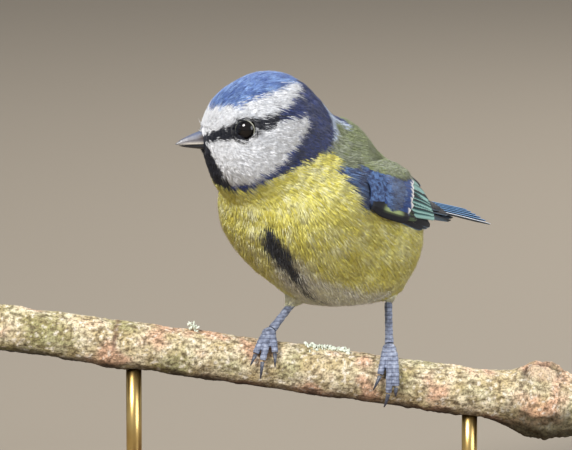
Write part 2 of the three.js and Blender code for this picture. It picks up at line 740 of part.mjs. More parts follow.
const head = new THREE.Group();
head.applyMatrix4(headFrame);
head.add(meshOf("head", makeHead(), COLOURS.crown));
head.add(meshOf("bill_upper", makeBill(true), COLOURS.bill));
head.add(meshOf("bill_lower", makeBill(false), COLOURS.billDark));
for (const [name, side] of [["left", 1], ["right", -1]]) {
  head.add(meshOf(`eye_${name}`, eyeball(side, EYE.radius), COLOURS.eye));
}
bird.add(head);
bird.add(meshOf("neck", makeNeck(), COLOURS.collar));
bird.add(meshOf("torso", makeTorso(), COLOURS.breast));
bird.add(meshOf("wing_left", makeWing(1), COLOURS.wing));
bird.add(meshOf("wing_right", makeWing(-1), COLOURS.wing));
bird.add(meshOf("tail", makeTail(), COLOURS.tail));

const bodyClearance = moved(starSolid(trunkWithThighs, vec(0, 0, 0), DETAIL.torso, GAP), birdFromPerch.clone().invert());
for (const [name, foot] of Object.entries(FEET)) {
  branch.add(meshOf(`leg_${name}`, makeTarsus(foot).subtract(bodyClearance), COLOURS.leg));
  branch.add(meshOf(`foot_${name}`, makeFoot(foot), COLOURS.leg));
  for (const toe of foot.toes) {
    branch.add(meshOf(`claw_${name}_${toe.name}`, makeClaw(toe), COLOURS.claw));
  }
}

group.add(branch, bird);
group.add(meshOf("stand_base", makeBase(), COLOURS.base));
group.add(meshOf("stand_rod_left", makeRod(ROD.leftX), COLOURS.rod, 0.9));
group.add(meshOf("stand_rod_right", makeRod(ROD.rightX), COLOURS.rod, 0.9));

export default group;
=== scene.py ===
# %% [markdown]
# This lesson dresses a life-size model of a blue tit that grips a short cut branch on a display stand.
# The imported solids give every place and size, so the first step loads them. Everything here is in
# metres, but a small bird is easier to think of in millimetres, so MM turns one into the other.

# %% Load the imported model
import math
import bmesh
import bpy
import numpy as np
from mathutils import Matrix, Vector, noise
from mathutils.bvhtree import BVHTree


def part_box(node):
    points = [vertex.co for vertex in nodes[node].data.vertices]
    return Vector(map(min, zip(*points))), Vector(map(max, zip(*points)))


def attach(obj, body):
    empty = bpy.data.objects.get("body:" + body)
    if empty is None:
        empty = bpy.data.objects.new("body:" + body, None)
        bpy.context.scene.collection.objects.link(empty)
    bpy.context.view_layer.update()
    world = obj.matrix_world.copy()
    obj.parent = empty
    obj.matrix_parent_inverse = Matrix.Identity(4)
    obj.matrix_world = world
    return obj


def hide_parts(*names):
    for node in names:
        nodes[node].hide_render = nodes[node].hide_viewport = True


MM = 0.001
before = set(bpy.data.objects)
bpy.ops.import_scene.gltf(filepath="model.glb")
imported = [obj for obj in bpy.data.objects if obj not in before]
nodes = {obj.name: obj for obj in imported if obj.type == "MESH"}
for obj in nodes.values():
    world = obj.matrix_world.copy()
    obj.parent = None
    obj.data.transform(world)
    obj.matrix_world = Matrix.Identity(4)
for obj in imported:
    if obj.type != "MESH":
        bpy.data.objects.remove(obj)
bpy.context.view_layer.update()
rng = np.random.default_rng(7)

# %% [markdown]
# The bird, its head and the branch are each modelled in a frame of their own, because a wing is easier
# to place when back means along the bird's back. A matrix for each frame turns its millimetres into the
# model's metres.

# %% Frames of the branch, the bird and its head
PERCH_HEIGHT = 43
PERCH_TILT = 8
BIRD_PLACE = (-2.1, 4, 36.3)
BIRD_YAW = -28
HEAD_PLACE = (-3.9, -19.7, 23.8)
HEAD_YAW = -50
HEAD_NOD = 8


def turn(degrees, axis):
    return Matrix.Rotation(math.radians(degrees), 4, axis)


PERCH_FRAME = Matrix.Translation((0, 0, PERCH_HEIGHT)) @ turn(PERCH_TILT, "Y")
BIRD_FRAME = Matrix.Translation(Vector(BIRD_PLACE) + Vector((0, 0, PERCH_HEIGHT))) @ turn(BIRD_YAW, "Z")
HEAD_FRAME = BIRD_FRAME @ Matrix.Translation(HEAD_PLACE) @ turn(HEAD_YAW, "Z") @ turn(HEAD_NOD, "X")


def into(points, place):
    """Points in metres, as millimetres in a frame."""
    inverse = np.array(place.inverted())
    return np.asarray(points) / MM @ inverse[:3, :3].T + inverse[:3, 3]


def out_of(points, place):
    """Points in millimetres in a frame, as metres in the model."""
    matrix = np.array(place)
    return (np.asarray(points) @ matrix[:3, :3].T + matrix[:3, 3]) * MM


def turned(directions, place):
    """Directions in a frame, as directions in the model."""
    return np.asarray(directions) @ np.array(place)[:3, :3].T


def unit(vectors):
    return vectors / np.maximum(np.linalg.norm(vectors, axis=-1, keepdims=True), 1e-12)


print("middle of the head", [round(c, 1) for c in HEAD_FRAME.translation], "mm")

# %% [markdown]
# The camera looks from the front, nine degrees up, through a long lens, as a wildlife photographer
# would. The lens follows from how many pixels a millimetre of the bird covers.

# %% Camera
PHOTO_SIZE = (572, 450)
PIXELS_PER_MM = 4.2
BRANCH_PIXEL = (327, 372)
CAMERA_RISE = 9
CAMERA_DISTANCE = 1.2
SENSOR_WIDTH = 36


def place_camera():
    rise = math.radians(CAMERA_RISE)
    back = Vector((0, -math.cos(rise), math.sin(rise)))
    right = Vector((1, 0, 0))
    up = back.cross(right)
    aside = (PHOTO_SIZE[0] / 2 - BRANCH_PIXEL[0]) / PIXELS_PER_MM * MM
    above = (BRANCH_PIXEL[1] - PHOTO_SIZE[1] / 2) / PIXELS_PER_MM * MM
    target = Vector((0, 0, PERCH_HEIGHT * MM)) + right * aside + up * above
    camera = bpy.data.objects.new("camera", bpy.data.cameras.new("camera"))
    camera.data.sensor_width = SENSOR_WIDTH
    camera.data.lens = SENSOR_WIDTH * CAMERA_DISTANCE / (PHOTO_SIZE[0] / PIXELS_PER_MM * MM)
    camera.data.clip_end = 20
    camera.matrix_world = (
        Matrix.Translation(target + back * CAMERA_DISTANCE) @ Matrix((right, up, back)).transposed().to_4x4()
    )
    bpy.context.scene.collection.objects.link(camera)
    bpy.context.scene.camera = camera
    return target


target = place_camera()
print("camera looks at", [round(c / MM, 1) for c in target])

# %% [markdown]
# A soft box from the upper left makes the eye's highlight and models the breast, a weaker one fills the
# shadow side, and a third from behind lifts the back off the backdrop. Small lamps would draw hard
# shadows between the feathers, so all three are wide. The floor and the backdrop are one sheet.

# %% Light, floor and backdrop
# Each light: its place and its width in metres, its power in watts and its colour
LIGHTS = {
    "key": ((-0.55, -0.75, 0.85), 0.4, 16.5, (1.0, 0.985, 0.955)),
    "fill": ((0.8, -0.7, 0.4), 0.7, 7.0, (0.93, 0.96, 1.0)),
    "rim": ((0.45, 0.7, 0.75), 0.5, 8.0, (1.0, 0.98, 0.95)),
}


def soft_box(name, place, size, power, colour):
    light = bpy.data.objects.new(name, bpy.data.lights.new(name, "AREA"))
    light.data.shape = "DISK"
    light.data.size = size
    light.data.energy = power
    light.data.color = colour
    light.location = place
    light.rotation_euler = (target - Vector(place)).to_track_quat("-Z", "Y").to_euler()
    bpy.context.scene.collection.objects.link(light)


for name, values in LIGHTS.items():
    soft_box(name, *values)

WORLD_LIGHT = 0.58
WORLD_COLOUR = (0.9, 0.92, 0.95, 1)
world = bpy.data.worlds.new("studio")
bpy.context.scene.world = world
world.use_nodes = True
world.node_tree.nodes["Background"].inputs["Color"].default_value = WORLD_COLOUR
world.node_tree.nodes["Background"].inputs["Strength"].default_value = WORLD_LIGHT
bpy.context.scene.view_settings.view_transform = "Standard"
print("lights:", *LIGHTS)

# The sheet runs back along the floor, bends up and rises as a wall, in metres
SHEET_BEND_AT = 4.0
SHEET_BEND = 0.8
SHEET_HALF = 5.0
PAPER = (0.25, 0.215, 0.17, 1)


def shell(name, bm, smooth=True):
    """Turns a finished bmesh into a mesh."""
    mesh = bpy.data.meshes.new(name)
    bm.to_mesh(mesh)
    bm.free()
    if smooth:
        mesh.shade_smooth()
    return mesh


def backdrop():
    """A line of corners, swept sideways into a sheet."""
    bm = bmesh.new()
    angles = np.linspace(0, math.pi / 2, 12)
    bend = [(SHEET_BEND_AT + SHEET_BEND * math.sin(a), SHEET_BEND * (1 - math.cos(a))) for a in angles]
    profile = [(-SHEET_BEND_AT, 0), *bend, (SHEET_BEND_AT + SHEET_BEND, SHEET_HALF)]
    line = [bm.verts.new((-SHEET_HALF, y, z)) for y, z in profile]
    edges = [bm.edges.new(pair) for pair in zip(line, line[1:])]
    swept = bmesh.ops.extrude_edge_only(bm, edges=edges)["geom"]
    far = [item for item in swept if isinstance(item, bmesh.types.BMVert)]
    bmesh.ops.translate(bm, verts=far, vec=(2 * SHEET_HALF, 0, 0))
    bmesh.ops.recalc_face_normals(bm, faces=bm.faces)
    sheet = bpy.data.objects.new("backdrop", shell("backdrop", bm))
    bpy.context.scene.collection.objects.link(sheet)
    paper = bpy.data.materials.new("backdrop_paper")
    paper.use_nodes = True
    paper.node_tree.nodes["Principled BSDF"].inputs["Base Color"].default_value = PAPER
    paper.node_tree.nodes["Principled BSDF"].inputs["Roughness"].default_value = 0.9
    sheet.data.materials.append(paper)


backdrop()

# %% [markdown]
# Every piece is a mesh whose object sits at the origin. These helpers make one from arrays or a bmesh,
# with a colour and a map for each corner, and hand it to the frame. Colours are written as on a screen
# and turned to the linear values that the shader wants.

# %% Helpers for meshes and colours
def screen(*rgb):
    """A colour given as 0 to 255 on a screen, in linear light."""
    c = np.array(rgb, float) / 255
    return np.where(c <= 0.04045, c / 12.92, ((c + 0.055) / 1.055) ** 2.4)


def mesh_from(name, vertices, triangles, colours, maps):
    """A mesh of triangles with a colour for each vertex, and maps that give each vertex a place."""
    mesh = bpy.data.meshes.new(name)
    mesh.vertices.add(len(vertices))
    mesh.vertices.foreach_set("co", np.asarray(vertices, np.float32).ravel())
    mesh.loops.add(triangles.size)
    mesh.loops.foreach_set("vertex_index", triangles.astype(np.int32).ravel())
    mesh.polygons.add(len(triangles))
    mesh.polygons.foreach_set("loop_start", np.arange(0, triangles.size, 3, dtype=np.int32))
    mesh.update(calc_edges=True)
    paint(mesh, colours)
    for map_name, values in maps.items():
        layer = mesh.uv_layers.new(name=map_name)
        layer.uv.foreach_set("vector", np.asarray(values, np.float32)[triangles.ravel()].ravel())
    mesh.shade_smooth()
    return mesh


def paint(mesh, colours):
    layer = mesh.color_attributes.new(name="marking", type="FLOAT_COLOR", domain="POINT")
    alpha = np.ones((len(colours), 1))
    layer.data.foreach_set("color", np.hstack([colours, alpha]).astype(np.float32).ravel())


def read(items, field, width, kind=np.float32):
    """One field of all the items, as the rows of an array."""
    values = np.zeros(len(items) * width, kind)
    items.foreach_get(field, values)
    return values.reshape(-1, width)


def points_of(mesh):
    return read(mesh.vertices, "co", 3).astype(float)


def set_points(mesh, points):
    mesh.vertices.foreach_set("co", np.asarray(points, np.float32).ravel())
    mesh.update()


def normals_of(mesh):
    return read(mesh.vertex_normals, "vector", 3).astype(float)


def add_piece(name, mesh, material, slot, *replaced):
    """Hands a finished mesh to the frame, in the place of some nodes."""
    piece = bpy.data.objects.new(name, mesh)
    bpy.context.scene.collection.objects.link(piece)
    mesh.materials.clear()
    mesh.materials.append(material)
    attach(piece, "root")
    if replaced:
        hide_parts(*replaced)
    print(f"{name}: {sum(len(p.vertices) - 2 for p in mesh.polygons)} triangles")
    return piece


# Corners nearer than this, in millimetres, are one corner
JOINED = 0.002


def merged_copy(*names, swell=0.0):
    """The CAD nodes' surfaces in one mesh, with their corners joined and pushed out a little."""
    bm = bmesh.new()
    for name in names:
        bm.from_mesh(nodes[name].data)
    bmesh.ops.remove_doubles(bm, verts=bm.verts, dist=JOINED * MM)
    bm.normal_update()
    for vertex in bm.verts:
        vertex.co += vertex.normal * swell
    return bm


def remeshed(name, bm, voxel, smoothing):
    """The same shape in small even faces, smoothed."""
    holder = bpy.data.objects.new(name + "_draft", shell(name, bm, smooth=False))
    bpy.context.scene.collection.objects.link(holder)
    remesh = holder.modifiers.new("even", "REMESH")
    remesh.mode = "VOXEL"
    remesh.voxel_size = voxel
    smooth = holder.modifiers.new("smooth", "SMOOTH")
    smooth.factor = 0.5
    smooth.iterations = smoothing
    graph = bpy.context.evaluated_depsgraph_get()
    made = bpy.data.meshes.new_from_object(holder.evaluated_get(graph))
    made.name = name
    bpy.data.objects.remove(holder)
    made.shade_smooth()
    return made


def rippled(points, size, seed):
    """Smooth noise from -1 to 1 with features of a size in millimetres."""
    shift = Vector((seed * 17.3, seed * 5.1, seed * 9.7))
    return np.array([noise.noise(Vector(p) / (size * MM) + shift) for p in points])


print("middle grey in linear light", np.round(screen(128, 128, 128), 3))

# %% [markdown]
# Materials are made of nodes. A picture wrapped round the bird could give its markings, but a colour
# worked out for each point has no seam. So where a surface has markings, as plumage, bark and the bill
# do, its colour is painted on each point, and a little noise in the object's own coordinates keeps any
# patch from being one flat tone. Horn, lichen and metal need only two colours with noise between them.

# %% Helpers for materials
def new_material(name, roughness, **sockets):
    material = bpy.data.materials.new(name)
    material.use_nodes = True
    shader = material.node_tree.nodes["Principled BSDF"]
    shader.inputs["Roughness"].default_value = roughness
    for socket, value in sockets.items():
        shader.inputs[socket.replace("_", " ")].default_value = value
    return material, material.node_tree, shader


def node(tree, kind, **values):
    made = tree.nodes.new(kind)
    for key, value in values.items():
        if key in made.inputs.keys():
            made.inputs[key].default_value = value
        else:
            setattr(made, key, value)
    return made


def grain(tree, size, detail=3.0, stretch=(1, 1, 1)):
    """Noise whose features have a size in millimetres, on the piece's own coordinates."""
    place = node(tree, "ShaderNodeTexCoord")
    scale = node(tree, "ShaderNodeMapping")
    scale.inputs["Scale"].default_value = stretch
    texture = node(tree, "ShaderNodeTexNoise", Scale=1 / (size * MM), Detail=detail)
    tree.links.new(place.outputs["Object"], scale.inputs["Vector"])
    tree.links.new(scale.outputs["Vector"], texture.inputs["Vector"])
    return texture.outputs["Fac"]


def ramp(tree, value, *stops):
    made = tree.nodes.new("ShaderNodeValToRGB")
    elements = made.color_ramp.elements
    for index, (place, colour) in enumerate(stops):
        element = elements[index] if index < 2 else elements.new(place)
        element.position = place
        element.color = (*colour, 1)
    tree.links.new(value, made.inputs["Fac"])
    return made.outputs["Color"]


def multiplied(tree, first, second, amount=1.0):
    """The first colour times the second, by an amount from 0 to 1."""
    made = node(tree, "ShaderNodeMix", data_type="RGBA", blend_type="MULTIPLY")
    made.inputs["Factor"].default_value = amount
    for socket, value in zip((socket for socket in made.inputs if socket.type == "RGBA"), (first, second)):
        tree.links.new(value, socket)
    return next(socket for socket in made.outputs if socket.type == "RGBA")


def bumped(tree, shader, height, strength, depth):
    bump = node(tree, "ShaderNodeBump", Strength=strength, Distance=depth * MM)
    tree.links.new(height, bump.inputs["Height"])
    tree.links.new(bump.outputs["Normal"], shader.inputs["Normal"])


def marked(name, roughness, size, *tones, detail=3.0, bump=None, **sockets):
    """A material with the colour painted on each point, times tones along grain of a size.

    A tone is a place and a level. bump holds a finer grain's size, detail and stretch, then its strength
    and its depth in millimetres.
    """
    material, tree, shader = new_material(name, roughness, **sockets)
    marking = node(tree, "ShaderNodeAttribute", attribute_name="marking")
    stops = [(place, np.broadcast_to(level, 3)) for place, level in tones]
    tone = ramp(tree, grain(tree, size, detail), *stops)
    tree.links.new(multiplied(tree, marking.outputs["Color"], tone), shader.inputs["Base Color"])
    if bump:
        bumped(tree, shader, grain(tree, *bump[0]), *bump[1:])
    return material


def grained(name, roughness, size, *stops, detail=3.0, bump=None, **sockets):
    """A material whose colour runs through stops along grain of a size, with the same kind of bump."""
    material, tree, shader = new_material(name, roughness, **sockets)
    tree.links.new(ramp(tree, grain(tree, size, detail), *stops), shader.inputs["Base Color"])
    if bump:
        bumped(tree, shader, grain(tree, *bump[0]), *bump[1:])
    return material


plumage = marked("plumage", 0.62, 0.7, (0.3, 0.82), (0.7, 1.12), Sheen_Weight=0.12, Sheen_Roughness=0.5)
print("plumage is made of", len(plumage.node_tree.nodes), "shader nodes")

# %% [markdown]
# A blue tit's markings are drawn once, as a function of place, and both the skin and the feathers read
# it. Round the head an edge is a height in degrees, up from the head's middle, for each direction from
# the bill (0) to the nape (180). On the trunk the edges follow the bird's own left, back and up.

# %% Colours and marking edges
CAP = screen(112, 144, 208)
CAP_PALE = screen(150, 182, 230)
CAP_DARK = screen(64, 94, 160)
WHITE = screen(248, 249, 253)
WHITE_DIM = screen(240, 242, 249)
NAVY = screen(46, 66, 134)
INK = screen(14, 18, 38)
NAPE = screen(196, 208, 228)
MANTLE = screen(128, 138, 86)
MANTLE_GREY = screen(142, 148, 124)
RUMP = screen(190, 188, 148)
YELLOW = screen(241, 232, 112)
YELLOW_PALE = screen(252, 248, 202)
YELLOW_DEEP = screen(213, 198, 72)
CREAM = screen(240, 237, 222)
BELLY_INK = screen(26, 30, 42)
COVERT_LIGHT = screen(90, 124, 176)
COVERT_DARK = screen(26, 42, 88)

# The lower edges of the cap, of the white over the eye line, of the eye line and of the cheek, with where
# the line ends at the back; the bib's side, as degrees round for a height; and the lower edges of the
# collar and of the pale nape, with where the nape begins
CAP_EDGE = [(0, 31), (22, 34), (45, 35), (58, 40), (82, 45), (111, 49), (141, 50), (163, 47), (180, 46)]
WHITE_EDGE = [(0, 3), (12, 6), (32, 12), (44, 16), (72, 20), (93, 22), (112, 26), (131, 33), (156, 42),
              (163, 48)]
LINE_EDGE = [(0, -2), (17, -2), (24, 1), (42, 1), (62, 3), (72, 6), (85, 10), (109, 14), (122, 14), (133, 9)]
LINE_BACK = 100
CHEEK_EDGE = [(34, -44), (49, -45), (68, -40), (87, -32), (99, -24), (108, -17), (118, -9), (130, 1),
              (134, 12), (180, 30)]
BIB_EDGE = [(-60, 36), (-45, 30), (-30, 24), (-16, 18), (-4, 14), (0, 11)]
COLLAR_EDGE = [(0, -38), (6, -41), (19, -48), (33, -52), (46, -52), (67, -47), (95, -39), (112, -35),
               (133, -30), (145, -26), (155, -23), (164, -14), (171, -2), (178, 11)]
NAPE_EDGE = [(152, -22), (166, -18), (175, -9), (180, -8)]
NAPE_FROM = 152
# The mantle's lower edge, as degrees up round the trunk, for places along it
MANTLE_EDGE = [(-15, 54), (-13.5, 40), (-5, 30), (0, 28), (15, 20), (30, 12)]
# The belly's dark stripe and the white round it: middle and half-width at heights from the trunk's middle
STRIPE_MIDDLE = [(-15, 3.0), (-10.8, 3.1), (-6, 1.4), (-2.5, 0.1), (1, -1.2)]
STRIPE_WIDTH = [(-17, 0.8), (-15, 1.4), (-10.8, 1.8), (-6, 3.3), (-2.5, 3.0), (-1, 1.3), (0.6, 0)]
WHITE_MIDDLE = [(-18, 7), (-12, 4), (-5, 1)]
WHITE_WIDTH = [(-18, 12), (-12, 6), (-5, 4.5)]
# The blue over the shoulder: how far forward it reaches at the trunk's middle height, and its lowest and
# highest place
SHOULDER_FRONT = -11.65
SHOULDER_HEIGHTS = (4.5, 14.5)
# How far from the head's middle each marking may lie, on the bird's right and on its left
CHEEK_REACH = (15.5, 17.5)
COLLAR_REACH = (17, 19.5)
NAPE_REACH = 23
EYE_AXIS = (0.9, -0.4, 0.1)
EYE_PATCH = 2.7


def along_edge(x, edge):
    """The value of an edge at each x, on straight lines between its points."""
    return np.interp(x, [p[0] for p in edge], [p[1] for p in edge])


def ramped(values, most=1.0):
    return np.clip(values, 0, most)


def hump(values, middle, width):
    """1 at a middle, falling smoothly to nothing on both sides."""
    return np.exp(-(((values - middle) / width) ** 2))


def mix(a, b, t):
    return a + (b - a) * t


def layered(count, base, *layers):
    """A colour for each of many points: a base, with others laid over it by shares from 0 to 1."""
    colours = np.tile(base, (count, 1))
    for colour, share in layers:
        colours = mix(colours, colour, ramped(share)[:, None])
    return colours


print("cap, white and ink in linear light", *(np.round(c, 2) for c in (CAP, WHITE, INK)))

# %% Plumage at a place: colour, length and depth
# The bird's left is towards its own +X
SIDES = {"left": 1, "right": -1}


def eye_place(name):
    low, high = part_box(name)
    return (low + high) / 2, max(high - low) / 2


def eye_axis(side):
    return Vector(turned(unit(np.array(EYE_AXIS) * (side, 1, 1)), HEAD_FRAME))


def from_eye(points, name, side):
    """Distance out along an eye's axis and away from it, in millimetres."""
    centre, _ = eye_place(f"eye_{name}")
    offset = (points - np.array(centre)) / MM
    axis = np.array(eye_axis(side))
    out = offset @ axis
    return out, np.linalg.norm(offset - out[:, None] * axis, axis=1)


def head_angles(points):
    """Places in the head's frame, as millimetres, distance, and degrees round from the bill and up."""
    h = into(points, HEAD_FRAME)
    reach = np.linalg.norm(h, axis=1)
    return h, reach, np.degrees(np.arctan2(abs(h[:, 0]), -h[:, 1])), np.degrees(np.arcsin(h[:, 2] / reach))


def streaked(points, place, slope, length, width):
    """Noise drawn out along the lie of the feathers, which runs back and down at a slope."""
    x, y, z = into(points, place).T
    angle = math.radians(slope)
    lengthwise = math.cos(angle) * y - math.sin(angle) * z
    crosswise = math.sin(angle) * y + math.cos(angle) * z
    return np.array([noise.noise(Vector(p)) for p in zip(lengthwise / length, x / width, crosswise / width)])


def trunk_markings(points, broad, fine):
    """Yellow with painted highlights and shade along its streaks, white and a dark stripe below, olive above
    and blue over the shoulders.
    """
    x, y, z = into(points, BIRD_FRAME).T
    count = len(points)
    streak = streaked(points, BIRD_FRAME, slope=37, length=7, width=0.65)
    white = (along_edge(z, WHITE_WIDTH) - abs(x - along_edge(z, WHITE_MIDDLE))) / 2.5 + 0.5 * broad
    white = ramped(white) * ramped((-4 - z) / 4) * (y < 8) * (0.8 + 0.8 * streak)
    off_middle = abs(x - along_edge(z, STRIPE_MIDDLE) + 0.6 * fine)
    stripe = along_edge(z, STRIPE_WIDTH) * (1 + 0.3 * broad) - off_middle
    colours = layered(
        count, YELLOW,
        # Painted shade and highlights: the deep yellow streaks stand for shade where feather groups part,
        # the pale ones for highlights on them
        (YELLOW_DEEP, 1.2 * streak + 0.4 * broad),
        (YELLOW_PALE, 0.15 - 1.3 * streak - 0.4 * broad),
        (CREAM, white),
        (CREAM, ramped((y - 14) / 6) * ramped((2 - z) / 5) * 0.8),
        (BELLY_INK, ramped(stripe / 0.6) * (y < 0)),
    )
    over = (np.degrees(np.arctan2(z, abs(x))) - along_edge(y, MANTLE_EDGE)) / 5 + 0.4 * fine
    # The olive stops at a line that falls towards the tail
    on_back = (over > 0.5) & (0.75 * z + 0.66 * y > 1.5)
    mantle = layered(count, MANTLE, (MANTLE_GREY, 0.7 - (y + 12) / 14 + 1.2 * streak), (RUMP, (y - 12) / 7))
    colours = np.where(on_back[:, None], mantle, colours)
    # The wing's blue reaches forward over the shoulder
    low, high = SHOULDER_HEIGHTS
    inside = np.minimum(y - SHOULDER_FRONT + 0.25 * z, np.minimum(high - z, z - low)) + 0.5 * fine
    on_shoulder = (inside > 0) & (abs(x) > 11) & (y < 0)
    shoulder = layered(count, COVERT_DARK, (COVERT_LIGHT, 0.4 + 1.6 * streak))
    return np.where(on_shoulder[:, None], shoulder, colours)


def markings(points, jitter=0.0):
    """The plumage's colour at each point. jitter shakes the edges on the head, in degrees."""
    h, reach, around, up = head_angles(points)
    shake = rng.normal(0, 1, (2, len(points))) * jitter
    around, up = around + shake[0], up + shake[1]
    broad, fine = rippled(points, 5.0, 1), rippled(points, 1.6, 2)
    streak = streaked(points, HEAD_FRAME, slope=15, length=4, width=0.45)
    count = len(points)
    left = (h[:, 0] > 0).astype(int)
    bib = along_edge(up, BIB_EDGE)
    line, white = along_edge(around, LINE_EDGE), along_edge(around, WHITE_EDGE)
    back = (around > NAPE_FROM) & (reach < NAPE_REACH)
    on_head = (up > along_edge(around, COLLAR_EDGE)) & (back | (reach < np.array(COLLAR_REACH)[left]))
    cheek = (up < line) & (up > along_edge(around, CHEEK_EDGE)) & (around > bib)
    cheek &= reach < np.array(CHEEK_REACH)[left]
    collar = layered(count, NAVY, (INK, 0.3 + 1.5 * streak))
    face = layered(count, WHITE, (WHITE_DIM, 0.1 + 0.9 * streak))
    crown = layered(count, CAP, (CAP_DARK, 0.1 + 2.2 * streak + 0.4 * broad), (CAP_PALE, 0.1 - 2.0 * streak))
    colours = trunk_markings(points, broad, fine)
    for where, colour in (
        ((up > along_edge(around, NAPE_EDGE)) & back, NAPE),
        (on_head, collar),
        (on_head & (cheek | (up > white)), face),
        (on_head & (around <= bib) & (up < 0), INK),
        (on_head & (up > line) & (up < white) & (around < LINE_BACK), INK),
        (on_head & (up > along_edge(around, CAP_EDGE) + 1.5 * shake[0]), crown),
    ):
        colours = np.where(where[:, None], colour, colours)
    for name, side in SIDES.items():
        out, aside = from_eye(points, name, side)
        colours[(out > 0) & (aside < EYE_PATCH)] = INK
    return colours


# Where the legs leave the body, in the branch's frame
HEELS = ((11.8, 8.5, 21), (-7.2, 8.0, 19.5))
BILL_ROOT = np.array([0, -12.5, -0.5])
# The coat's length by the distance from the bill's root and by the height on the trunk, and the share of
# it that is left by the distance from a heel
HEAD_COAT = [(2, 0.9), (6, 1.8), (14, 3.0), (24, 3.6)]
TRUNK_COAT = [(-18, 7.0), (-8, 6.2), (10, 4.8)]
HEEL_SHARE = [(3, 0.4), (11, 1)]


def coat_length(points):
    """Length of the feathers' visible part in millimetres: shortest round the bill and the legs."""
    h, reach, _, _ = head_angles(points)
    on_head = along_edge(np.linalg.norm(h - BILL_ROOT, axis=1), HEAD_COAT)
    in_branch = into(points, PERCH_FRAME)
    from_heel = np.min([np.linalg.norm(in_branch - heel, axis=1) for heel in HEELS], axis=0)
    on_trunk = along_edge(into(points, BIRD_FRAME)[:, 2], TRUNK_COAT) * along_edge(from_heel, HEEL_SHARE)
    # Over the neck the head's coat turns into the trunk's
    return mix(on_head, on_trunk, ramped((reach - 13.5) / 6))


print("coat on the belly", coat_length(out_of([(0, -8, -15)], BIRD_FRAME)).round(1), "mm long")

# How deep the coat is, as a share of its length, and how much the skin under it is darkened, as painted
# shade between the tufts
COAT_DEPTH_SHARE = 0.2
SKIN_SHADE = 0.75

# %% [markdown]
# The plumage of the head, neck and trunk is one surface on the bird. Three skins would show their seams,
# so one takes the place of the three solids. Their surfaces are swollen a little until they overlap,
# remeshed into one even shell, and then pulled in by the depth of the coat, which the feathers give back.
# A cone carries the skin on into the tail, where the coverts grow.

# %% Skin
SEAM_SWELL = 0.3
SKIN_VOXEL = 0.5
# The cone: its two ends in the bird's frame and its radius at each
TAIL_STUB = ((0.8, 22, 3.6), (3.2, 37, 0.4), 5.6, 1.5)


def tail_stub(bm):
    start, end = (Vector(out_of(p, BIRD_FRAME)) for p in TAIL_STUB[:2])
    made = bmesh.ops.create_cone(
        bm,
        cap_ends=True,
        segments=24,
        radius1=TAIL_STUB[2] * MM,
        radius2=TAIL_STUB[3] * MM,
        depth=(end - start).length,
    )
    heading = (end - start).to_track_quat("Z", "Y").to_matrix().to_4x4()
    place = Matrix.Translation((start + end) / 2) @ heading
    bmesh.ops.transform(bm, matrix=place, verts=made["verts"])


def largest_island(mesh):
    """Removes loose shells, such as the walls of a gap that the remesh sealed."""
    bm = bmesh.new()
    bm.from_mesh(mesh)
    left = set(bm.verts)
    islands = []
    while left:
        found = {left.pop()}
        edge_of_search = list(found)
        while edge_of_search:
            vertex = edge_of_search.pop()
            for edge in vertex.link_edges:
                other = edge.other_vert(vertex)
                if other in left:
                    left.discard(other)
                    found.add(other)
                    edge_of_search.append(other)
        islands.append(found)
    keep = max(islands, key=len)
    bmesh.ops.delete(bm, geom=[v for v in bm.verts if v not in keep], context="VERTS")
    bm.to_mesh(mesh)
    bm.free()


def unwrapped(piece):
    """Unwraps a piece on its own shape into the map that the coat shares."""
    piece.data.uv_layers.new(name="OFBake")
    bpy.ops.object.select_all(action="DESELECT")
    bpy.context.view_layer.objects.active = piece
    piece.select_set(True)
    bpy.ops.object.mode_set(mode="EDIT")
    bpy.ops.mesh.select_all(action="SELECT")
    bpy.ops.uv.smart_project(angle_limit=math.radians(66), island_margin=0.002)
    bpy.ops.object.mode_set(mode="OBJECT")


def make_skin():
    bm = merged_copy("head", "neck", "torso", swell=SEAM_SWELL * MM)
    tail_stub(bm)
    mesh = remeshed("skin", bm, SKIN_VOXEL * MM, 6)
    largest_island(mesh)
    points, normals = points_of(mesh), normals_of(mesh)
    depth = coat_length(points) * COAT_DEPTH_SHARE + SEAM_SWELL
    set_points(mesh, points - normals * depth[:, None] * MM)
    # The skin's markings are darkened as painted shade where it shows between the tufts
    paint(mesh, markings(points_of(mesh)) * SKIN_SHADE)
    piece = add_piece("skin", mesh, plumage, "breast_feathers", "head", "neck", "torso")
    unwrapped(piece)
    return piece


skin = make_skin()

# %% [markdown]
# A feather of the coat is a tuft of thin, pointed blades that lie along the body and rise only a little.
# Hair could do it too, but the model has to be made of closed solids, so each blade is a slim spike.
# The lie streams back from the bill over the head, down the breast and back along the flanks and the
# back, which a fixed direction gives when it is pressed flat onto the surface.

# %% The lie of the coat
HEAD_LIE = np.array([0, 0.88, -0.48])
TRUNK_LIE = np.array([0, 0.8, -0.6])


def laid(directions, normals):
    """Directions pressed flat onto a surface."""
    return unit(directions - normals * np.sum(directions * normals, axis=1, keepdims=True))


def lie_at(points, normals):
    """The way the coat lies at each point of the skin."""
    h, reach, _, _ = head_angles(points)
    away = h - BILL_ROOT
    near_bill = ramped(1 - (np.linalg.norm(away, axis=1) - 5) / 14)[:, None]
    on_head = turned(mix(HEAD_LIE, unit(away), near_bill), HEAD_FRAME)
    on_trunk = turned(TRUNK_LIE, BIRD_FRAME)
    return laid(mix(on_head, on_trunk, ramped((reach - 13) / 7)[:, None]), normals)


breast = out_of([(0, -14, -5)], BIRD_FRAME)
print("on the breast the coat lies along", lie_at(breast, np.array([[0.0, -1.0, 0.0]])).round(2))

# %% Tufts from arrays
BLADES = 5
